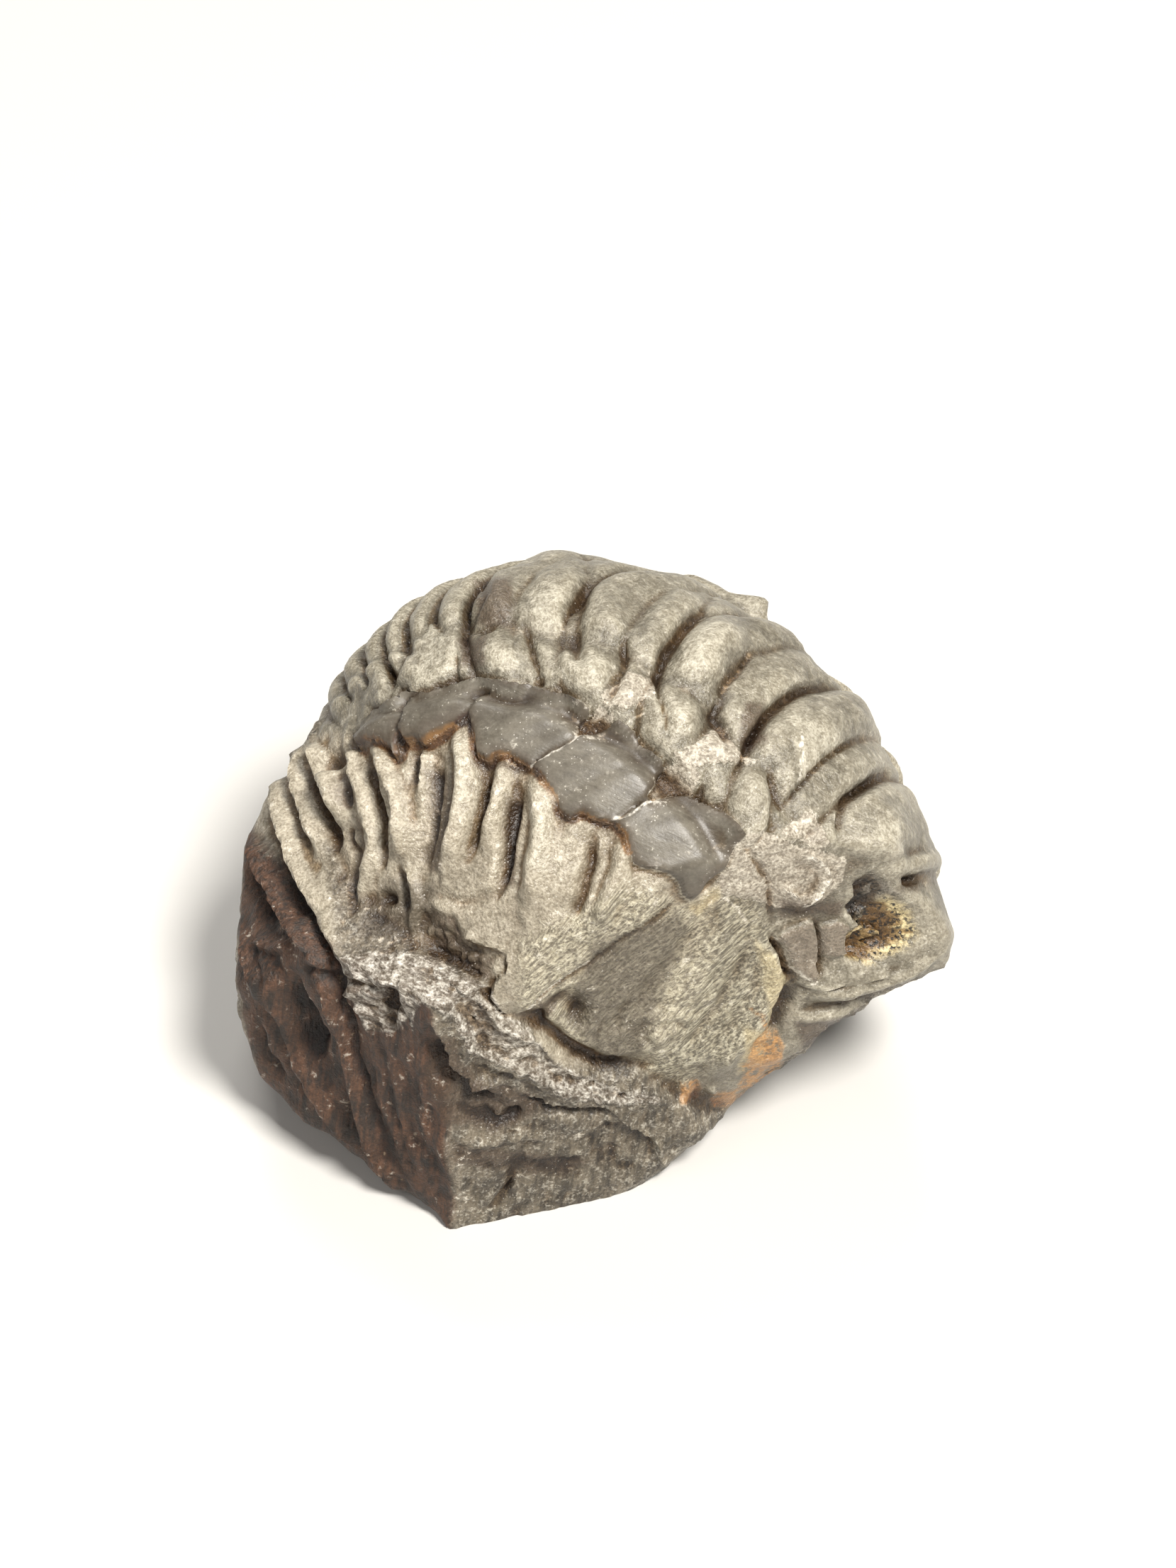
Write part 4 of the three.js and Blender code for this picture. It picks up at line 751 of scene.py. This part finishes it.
def stains_and_shading(drawn, shell, out):
    found = {}
    for name, outlines in STAINS_AND_SHADING.items():
        soft = SHADE_EDGE if name == "painted_shade" else SOFT_EDGE
        depth = np.max([smooth(-soft, soft, depth_in(drawn, outline)) for outline in outlines], axis=0)
        found[name] = depth * smooth(*FADE_IN, out)
    crust = np.zeros(len(drawn))
    ridges(drawn, crust, [(line, CRUST_HALF, CRUST_HALF, 1) for line in CRUSTS], 1)
    found["crust"] = np.minimum(crust, 1) * smooth(-1, 0, out)
    # the honey-brown band at the shell's broken edge: partly its own colour, partly a painted shadow at the
    # foot of the step
    amber_and_shadow = np.zeros(len(drawn))
    edge = SHELL[:SHELL_BREAK]
    close = round_about(drawn, edge, 0.6)
    distance = along(drawn[close], edge)[0]
    amber_and_shadow[close] = smooth(0.36, 0.1, distance) * smooth(0.12, 0.0, shell[close])
    found["amber_and_shadow"] = amber_and_shadow * (out > SEEN_PAST)
    return found


# THE WHOLE STONE
# One lump: the body, the block and everything on the near face worked into a single closed skin that sits
# on a flat foot.
MM = 0.001
ROWS = 126  # faces along each side of the cube that the skin is blown up from
NEAR_CROWDING = 0.45  # how much closer the points stand on the near face
CELL = 0.011  # about the width of a face, as a share of the radius
FOOTPRINT_MIDDLE = np.array([-0.2, 1.1, 0])
VIEW_AT = 200.0  # the near face is drawn as it looks from this far off, above this point of it
AIM_ACROSS, AIM_UP = -0.466, 5.746
NOT_SEEN = -3
EASED = [(0, 1, 4), (0, -1, 4), (1, 1, 4), (1, -1, 4), (2, 1, 6)]  # axis, way along it, how far in it reaches
EDGE_GAP = 0.02
CLOSE_BY, FURTHER_OFF = 12, 130  # rounds of spreading
FOOT_AT, CREASE_ANGLE = 0.01, 50  # height of the cut, degrees


def stone_surface(toward):
    ball, relief, side = rolled_body(toward)
    radius, on_block, on_left, on_under = in_block(toward, ball)
    spot = toward * radius[:, None]
    out = spot @ FACE_OUT
    k = VIEW_AT / (VIEW_AT - out)
    across, up = (spot @ FACE_ACROSS - AIM_ACROSS) * k + AIM_ACROSS, (spot @ FACE_UP - AIM_UP) * k + AIM_UP
    place = np.stack([across, up], 1)
    near = smooth(-1.5, 1.5, out)
    ragged = [0.09 * lumps(spot, 1.2, seed) + 0.05 * lumps(spot, 0.5, seed + 2) for seed in (31, 32)]
    drawn = place + np.stack(ragged, 1)

    def inside(*outlines):
        depth = np.max([depth_in(drawn, outline) for outline in outlines], axis=0)
        return np.where(out > SEEN_PAST, depth, NOT_SEEN)

    shell, filling, chip, pit = inside(SHELL), inside(*FILLING), inside(*CHIPS), inside(PIT)
    crest_area = smooth(-0.15, 0.35, inside(CREST_AREA))
    on_shell = smooth(-0.06, 0.08, shell)
    on_stone = np.clip(on_block + on_left + on_under, 0, 1)
    left_mould = smooth(-0.15, 0.25, inside(LEFT_MOULD))
    on_mould = np.maximum(smooth(30, 36, side), left_mould) * (1 - on_shell)
    lift = swollen(place) + bare_stone(drawn) * (1 - 0.97 * on_shell) + shell_top(place) * on_shell
    lift = lift + filling_and_pit(spot, drawn, filling, chip, pit)
    lift = lift + (1.0 - relief) * 0.85 * smooth(-0.08, 0.1, depth_in(drawn, TAIL_PLATE))
    lift = lift + broken_faces(spot, drawn, out, crest_area, on_left, (on_stone - on_left).clip(0, 1))
    seams, tone = crystals(spot, 0.4, 12)
    lift = lift + on_mould * (0.05 * rough(spot, 0.8, 3, 44, 0.6) + 0.05 * tone * seams)
    lift = lift + 0.04 * rough(spot, 1.1, 3, 45, 0.6) * (1 - on_shell * 0.7)
    radius = radius + lift * near + (1 - near) * 0.06 * rough(spot, 1.4, 3, 46, 0.6)
    marks = stains_and_shading(drawn, shell, out)
    marks.update(
        shell=shell, filling=filling, pit=pit, crest=crest_area, mould=on_mould,
        chip=smooth(-0.05, 0.1, chip), gold=smooth(-0.2, 0.3, inside(GOLD)),
        torn=on_left * smooth(6.2, 4.2, up) * (1 - left_mould),
        block=(on_block + on_under).clip(0, 1) * (1 - on_left),
        cheek=smooth(-0.6, 0.6, depth_in(drawn, CHEEK_AREA)) * (1 - crest_area) * near,
    )
    return radius, marks


bpy.ops.object.select_all(action="DESELECT")
bpy.ops.mesh.primitive_cube_add(size=2)
stone = bpy.context.object
stone.name = "trilobite_stone"
bpy.ops.object.mode_set(mode="EDIT")
bpy.ops.mesh.subdivide(number_cuts=ROWS - 1)
bpy.ops.object.mode_set(mode="OBJECT")
toward = np.empty(len(stone.data.vertices) * 3)
stone.data.vertices.foreach_get("co", toward)
toward = np.tan(toward.reshape(-1, 3) * np.pi / 4)
toward /= np.linalg.norm(toward, axis=1)[:, None]
toward = toward + NEAR_CROWDING * FACE_OUT
toward /= np.linalg.norm(toward, axis=1)[:, None]

# each point is the mean of four places round it
aside = np.cross(toward, [0.31, 0.83, 0.46])
aside /= np.linalg.norm(aside, axis=1)[:, None]
ahead = np.cross(toward, aside)
radius, marks = 0, {}
for a, b in ((0.3, 0.11), (-0.11, 0.3), (-0.3, -0.11), (0.11, -0.3)):
    nudged = toward + CELL * (a * aside + b * ahead)
    nudged /= np.linalg.norm(nudged, axis=1)[:, None]
    part_radius, part_marks = stone_surface(nudged)
    radius = radius + part_radius / 4
    for name, values in part_marks.items():
        marks[name] = marks.get(name, 0) + values / 4

# the outermost few millimetres are eased in to the overall size
points = CENTRE + toward * radius[:, None] - FOOTPRINT_MIDDLE
lowest, highest = (np.array(corner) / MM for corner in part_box("trilobite_fossil"))
for axis, way, zone in EASED:
    limit = (highest if way > 0 else lowest)[axis]
    past = way * points[:, axis] - (way * limit - EDGE_GAP - zone)
    if past.max() > zone:
        points[:, axis] -= way * np.clip(past, 0, None) * (1 - zone / past.max())
stone.data.vertices.foreach_set("co", (points * MM).ravel())
stone.data.update()

# how proud or sunken every point is, close by and further off
ends = np.empty(len(stone.data.edges) * 2, dtype=np.int64)
stone.data.edges.foreach_get("vertices", ends)
one, other, count = ends[::2], ends[1::2], len(radius)
links = np.bincount(one, minlength=count) + np.bincount(other, minlength=count)


def spread(values, rounds):
    for _ in range(rounds):
        around = np.bincount(one, values[other], count) + np.bincount(other, values[one], count)
        values = around / links * 0.7 + values * 0.3
    return values


soft_radius = spread(radius, CLOSE_BY)
marks["relief"] = radius - soft_radius
marks["hollow"] = radius - spread(soft_radius, FURTHER_OFF)
for name, values in marks.items():
    stone.data.attributes.new(name, "FLOAT", "POINT").data.foreach_set("value", values.astype(np.float32))

# the flat foot
bpy.ops.object.mode_set(mode="EDIT")
bpy.ops.mesh.select_all(action="SELECT")
bpy.ops.mesh.bisect(plane_co=(0, 0, FOOT_AT * MM), plane_no=(0, 0, 1), use_fill=True, clear_inner=True,
                    threshold=1e-7)
bpy.ops.mesh.select_all(action="SELECT")
bpy.ops.mesh.normals_make_consistent(inside=False)
bpy.ops.object.mode_set(mode="OBJECT")
bpy.ops.object.shade_smooth_by_angle(angle=math.radians(CREASE_ANGLE))


# Its finish is grey stone with a dull, slightly greasy shine: darker shell with a honey edge partly darkened
# as a painted shadow, beige mould, brown torn rock, white crystals on the crest, painted shade in the hollows
# and tiny painted glints.
SHADES = {  # the dark and the light of each kind of stone
    "stone": ((0.125, 0.112, 0.084), (0.19, 0.172, 0.132)),
    "cheek": ((0.09, 0.078, 0.054), (0.58, 0.54, 0.41)),
    "torn": ((0.01, 0.004, 0.002), (0.078, 0.032, 0.014)),
    "block": ((0.022, 0.015, 0.009), (0.17, 0.143, 0.104)),
    "shell": ((0.078, 0.067, 0.051), (0.142, 0.127, 0.1)),
    # the honey edge's band is partly a painted shadow at the foot of the step
    "amber_and_shadow": ((0.03, 0.013, 0.006), (0.19, 0.095, 0.03)),
    "filling": ((0.2, 0.172, 0.135), (0.44, 0.4, 0.33)),
    "pit": ((0.014, 0.011, 0.008), (0.6, 0.5, 0.28)),
    "crest": ((0.1, 0.077, 0.055), (0.6, 0.57, 0.51)),
    "grain": ((0.66, 0.63, 0.58), (1.28, 1.28, 1.28)),
}
MOTTLE, SPECKLE = (0.27, 0.245, 0.19), (0.35, 0.325, 0.26)
# a painted highlight on raised parts, and the beige of the mould
RAISED_HIGHLIGHT, BEIGE = (0.36, 0.33, 0.26), (0.385, 0.34, 0.265)
BLOCK_SPECKLE, SHELL_SPECKLE, SHELL_RIM = (0.34, 0.32, 0.27), (0.33, 0.31, 0.26), (0.06, 0.04, 0.024)
# the glint colour is a painted highlight
FLECK, PIT_GREY, GLINT = (0.62, 0.58, 0.5), (0.19, 0.17, 0.14), (0.8, 0.77, 0.7)
# painted shade for hollows and creases, and white for no change
HOLLOW_SHADE, CREASE_SHADE, CLEAR = (0.36, 0.28, 0.2), (0.5, 0.41, 0.31), (1, 1, 1)
# colour, strength, how ragged the edge is
STAIN_AND_SHADING_COLOURS = [
    # the brown patches are partly painted shade, the dim ones are painted shade and the pale ones partly
    # painted highlights
    ("brown_and_shade", (0.05, 0.028, 0.014), 0.75, 0.9),
    ("painted_shade", (0.07, 0.055, 0.038), 0.7, 0.7),
    ("pale_and_highlight", (0.42, 0.39, 0.315), 0.55, 0.9),
    ("cream", (0.5, 0.42, 0.25), 0.6, 0.9),
    ("orange", (0.42, 0.2, 0.05), 0.75, 2),
    ("chip", (0.15, 0.118, 0.088), 0.75, 0.8),
    ("crust", (0.72, 0.68, 0.6), 0.75, 2.2),
]
HAIR_RUN, STEEP_RUN, GROWTH_RUN = (0.64, 0.54, 0.54), (-0.12, -0.25, -0.96), (0.9, -0.3, -0.3)


class Wire:
    """A socket that adds Math nodes when it is used in a Python expression."""

    def __init__(self, tree, socket=None):
        self.tree, self.socket = tree, socket

    def node(self, kind, settings=None, out=0, **inputs):
        made = self.tree.nodes.new(kind)
        for key, value in (settings or {}).items():
            setattr(made, key, value)
        for key, value in inputs.items():
            spot = made.inputs[int(key[1:]) if key[0] == "_" else key.replace("_", " ")]
            if isinstance(value, Wire):
                self.tree.links.new(value.socket, spot)
            else:
                spot.default_value = value
        return Wire(self.tree, made.outputs[out])

    def beside(self, output):
        """another output of the same node"""
        return Wire(self.tree, self.socket.node.outputs[output])

    def maths(self, operation, first, second):
        return self.node("ShaderNodeMath", {"operation": operation}, _0=first, _1=second)

    def __add__(self, other): return self.maths("ADD", self, other)
    def __radd__(self, other): return self.maths("ADD", other, self)
    def __sub__(self, other): return self.maths("SUBTRACT", self, other)
    def __rsub__(self, other): return self.maths("SUBTRACT", other, self)
    def __mul__(self, other): return self.maths("MULTIPLY", self, other)
    def __rmul__(self, other): return self.maths("MULTIPLY", other, self)

    def between(self, low, high):
        """0 below low, 1 above high, softly"""
        settings = {"interpolation_type": "SMOOTHSTEP"}
        return self.node("ShaderNodeMapRange", settings, Value=self, From_Min=low, From_Max=high)

    def tint(self, under, over):
        """under where this wire is 0, over where it is 1; a colour is red, green and blue"""
        under, over = (side if isinstance(side, Wire) else (*side, 1) for side in (under, over))
        return self.node("ShaderNodeMix", {"data_type": "RGBA"}, 2, _0=self, _6=under, _7=over)


def stone_finish():
    material = bpy.data.materials.new("trilobite_stone")
    material.use_nodes = True
    tree = material.node_tree
    tree.nodes.clear()
    start = Wire(tree)
    place = start.node("ShaderNodeTexCoord", None, "Object")

    def read(name):
        return start.node("ShaderNodeAttribute", {"attribute_name": name}, "Fac")

    def noise(size, detail=4.0, roughness=0.55, distortion=0.0):
        return start.node("ShaderNodeTexNoise", Vector=place, Scale=1 / (size * MM), Detail=detail,
                          Roughness=roughness, Distortion=distortion)

    def streaks(run, length, width):
        turned = mathutils.Vector(run).to_track_quat("X", "Z").to_euler()
        laid = start.node("ShaderNodeMapping", {"vector_type": "TEXTURE"}, Vector=place, Rotation=turned,
                          Scale=(length, width, width))
        return start.node("ShaderNodeTexNoise", Vector=laid, Scale=1 / MM, Detail=3, Roughness=0.6)

    def times(colour, by, share=1.0):
        settings = {"data_type": "RGBA", "blend_type": "MULTIPLY"}
        return start.node("ShaderNodeMix", settings, 2, _0=share, _6=colour, _7=by)

    big, middle, fine, dust = noise(7), noise(1.7, 5, 0.6, 0.4), noise(0.45, 4, 0.65), noise(0.14, 2, 0.5)
    relief, hollow, shell, filling, pit, torn, block, mould, cheek, gold = (read(name) for name in (
        "relief", "hollow", "shell", "filling", "pit", "torn", "block", "mould", "cheek", "gold"))

    # warm grey stone, paler where it stands proud as a painted highlight
    grey = big.between(0.35, 0.65).tint(*SHADES["stone"])
    grey = (middle.between(0.42, 0.68) * 0.6).tint(grey, MOTTLE)
    grey = (fine.between(0.5, 0.75) * 0.35).tint(grey, SPECKLE)
    grey = ((relief + (fine - 0.5) * 0.06).between(0, 0.14) * 0.5).tint(grey, RAISED_HIGHLIGHT)
    grey = (mould * (0.35 + 0.5 * middle)).tint(grey, BEIGE)
    hair = streaks(HAIR_RUN, 3.4, 0.14)
    grey = (cheek * 0.6).tint(grey, hair.between(0.36, 0.64).tint(*SHADES["cheek"]))
    steep = streaks(STEEP_RUN, 2.6, 0.3)
    rind = (middle * 0.5 + steep * 0.5).between(0.38, 0.62)
    grey = (torn * 0.97).tint(grey, rind.tint(*SHADES["torn"]))
    grey = (block * 0.85).tint(grey, rind.tint(*SHADES["block"]))
    grey = (block * (fine * 0.6 + dust * 0.5).between(0.56, 0.68) * 0.5).tint(grey, BLOCK_SPECKLE)

    # the thin shell and the honey edge it breaks off at, the band along the edge partly a painted shadow at
    # the foot of the step
    on_shell = (shell + (dust - 0.5) * 0.08).between(-0.02, 0.03)
    growth = streaks(GROWTH_RUN, 2.4, 0.22)
    plate = (middle * 0.65 + growth * 0.35).between(0.36, 0.64).tint(*SHADES["shell"])
    plate = (fine * 0.55 + dust * 0.45).between(0.61, 0.68).tint(plate, SHELL_SPECKLE)
    plate = ((0.75 - shell).between(0, 0.7) * big.between(0.4, 0.6) * 0.6).tint(plate, SHELL_RIM)
    grey = on_shell.tint(grey, plate)
    amber_and_shadow = (read("amber_and_shadow") * (1.0 + (fine - 0.5) * 1.5)).between(0.05, 0.6)
    grey = (amber_and_shadow * 0.88).tint(grey, middle.between(0.38, 0.6).tint(*SHADES["amber_and_shadow"]))

    # pale crumbly stone showing through
    on_filling = (filling + (fine - 0.5) * 0.5 + (dust - 0.5) * 0.3).between(-0.05, 0.1)
    speck = start.node("ShaderNodeTexVoronoi", Vector=place, Scale=1 / (0.15 * MM))
    chance = start.node("ShaderNodeSeparateColor", Color=speck.beside("Color"))
    tone = chance.beside(1)
    crumbs = (fine * 0.6 + dust * 0.35 + tone * 0.3).between(0.25, 0.95)
    grey = on_filling.tint(grey, crumbs.tint(*SHADES["filling"]))

    # stains, painted shade in hollows, painted highlights on lobes and ribs, and white crusts
    for name, colour, strength, ragged in STAIN_AND_SHADING_COLOURS:
        patch = read(name) * (1.0 + (fine - 0.5) * ragged * 1.6 + (middle - 0.5) * ragged * 1.3)
        grey = (patch.between(0.25, 0.95) * strength).tint(grey, colour)
    flecked = mould * 0.7 + (1.0 - torn - mould) * 0.25 + filling.between(-0.8, 0.1) * 0.4
    flecks = (fine * 0.7 + middle * 0.45).between(0.66, 0.76) * flecked
    grey = flecks.maths("MINIMUM", flecks, 0.8).tint(grey, FLECK)
    granules = (tone * 0.45 + fine * 0.75).between(0.34, 0.66)
    lining = (gold * granules).tint(*SHADES["pit"])
    lining = ((1.0 - gold) * granules * 0.75).tint(lining, PIT_GREY)
    grey = pit.between(-0.1, 0.4).tint(grey, lining)
    fibres = streaks(CREST_RUN, 1.5, 0.24)
    crest = (read("crest") + (fine - 0.5) * 0.9 + (middle - 0.5) * 0.9).between(0.25, 0.85)
    frost = (fibres * 0.75 + fine * 0.5 + dust * 0.25).between(0.6, 1.0)
    grey = (crest * 0.8).tint(grey, frost.tint(*SHADES["crest"]))

    # grain, painted shade in the hollows and creases, and painted glints
    salt = (fine * 0.5 + dust * 0.5).between(0.36, 0.64)
    grey = times(grey, salt.tint(*SHADES["grain"]), 1.0 - on_shell * 0.7)
    grey = times(grey, (hollow + (fine - 0.5) * 0.15).between(-0.75, 0.0).tint(HOLLOW_SHADE, CLEAR))
    grey = times(grey, (relief + (dust - 0.5) * 0.05).between(-0.18, -0.02).tint(CREASE_SHADE, CLEAR))
    sparkling = 0.5 * middle.between(0.38, 0.62) * (1.0 - torn)
    glint = (0.26 - speck).between(0.0, 0.08) * (chance - 0.82).between(0, 0.02) * sparkling
    grey = (glint * 0.85).tint(grey, GLINT)

    height = fine * (1.2 - on_shell * 1.05) + dust * (0.6 - on_shell * 0.5)
    height = height + (on_filling + crest) * tone * 0.5 + hair * cheek * 1.2 + fibres * crest * 1.5
    height = height + steep * (torn + block) + growth * on_shell * 0.12
    dents = start.node("ShaderNodeBump", Strength=0.8, Distance=0.14 * MM, Height=height)
    rough = 0.27 + fine * 0.24 + on_shell * 0.07 + on_filling * 0.1 + block * 0.06 + torn * 0.22
    rough = rough - crest * 0.1 - glint * 0.1
    rough = rough.maths("MAXIMUM", rough, 0.12)
    shader = start.node("ShaderNodeBsdfPrincipled", Base_Color=grey, Roughness=rough, Specular_IOR_Level=0.55,
                        Normal=dents)
    tree.links.new(shader.socket, tree.nodes.new("ShaderNodeOutputMaterial").inputs["Surface"])
    return material


stone.data.materials.append(stone_finish())
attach(stone, "root")
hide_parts("trilobite_fossil")


# THE FLOOR, THE LIGHTS AND THE CAMERA
# A plain pale floor, a warm lamp high on the right, two soft ones to fill in, and a camera looking down at
# the near face.
FLOOR_DROP = 0.02
PAPER = (0.56, 0.55, 0.53, 1)
DAYLIGHT = (0.92, 0.9, 0.87, 1)
LENS, SENSOR = 87.2, 36
VIEW_RAISED = 45  # degrees
bpy.ops.object.select_all(action="DESELECT")
bpy.ops.mesh.primitive_plane_add(size=3, location=(0, 0, -FLOOR_DROP * MM))
floor = bpy.context.object
floor.name = "floor"
paper = bpy.data.materials.new("floor_paper")
paper.use_nodes = True
paper.node_tree.nodes["Principled BSDF"].inputs["Base Color"].default_value = PAPER
paper.node_tree.nodes["Principled BSDF"].inputs["Roughness"].default_value = 0.8
floor.data.materials.append(paper)


def lamp(name, azimuth, height, distance, size, power, tint):
    bpy.ops.object.light_add(type="AREA")
    light = bpy.context.object
    light.name = name
    a, e = math.radians(azimuth), math.radians(height)
    flat = distance * math.cos(e)
    light.location = (flat * math.sin(a), -flat * math.cos(a), distance * math.sin(e))
    light.rotation_mode = "QUATERNION"
    light.rotation_quaternion = (-light.location).to_track_quat("-Z", "Y")
    light.data.shape = "DISK"
    light.data.size = size
    light.data.energy = power
    light.data.color = tint


lamp("key_light", 40, 62, 0.45, 0.12, 3.6, (1.0, 0.97, 0.92))
lamp("fill_light", -55, 40, 0.6, 0.4, 0.8, (1.0, 0.97, 0.94))
lamp("back_light", 190, 55, 0.6, 0.3, 1.8, (1.0, 0.98, 0.95))
world = bpy.data.worlds.new("studio")
world.use_nodes = True
world.node_tree.nodes["Background"].inputs["Color"].default_value = DAYLIGHT
world.node_tree.nodes["Background"].inputs["Strength"].default_value = 0.25
bpy.context.scene.world = world
bpy.context.scene.view_settings.view_transform = "Standard"

view_data = bpy.data.cameras.new("camera")
view_data.lens = LENS
view_data.sensor_width = SENSOR
view_data.sensor_fit = "AUTO"
view_data.clip_start = 0.01
view_data.clip_end = 10
camera = bpy.data.objects.new("camera", view_data)
bpy.context.collection.objects.link(camera)
camera.rotation_euler = (math.radians(90 - VIEW_RAISED), 0, 0)
eye = CENTRE + AIM_ACROSS * FACE_ACROSS + AIM_UP * FACE_UP + VIEW_AT * FACE_OUT
camera.location = tuple((eye - FOOTPRINT_MIDDLE) * MM)
bpy.context.scene.camera = camera
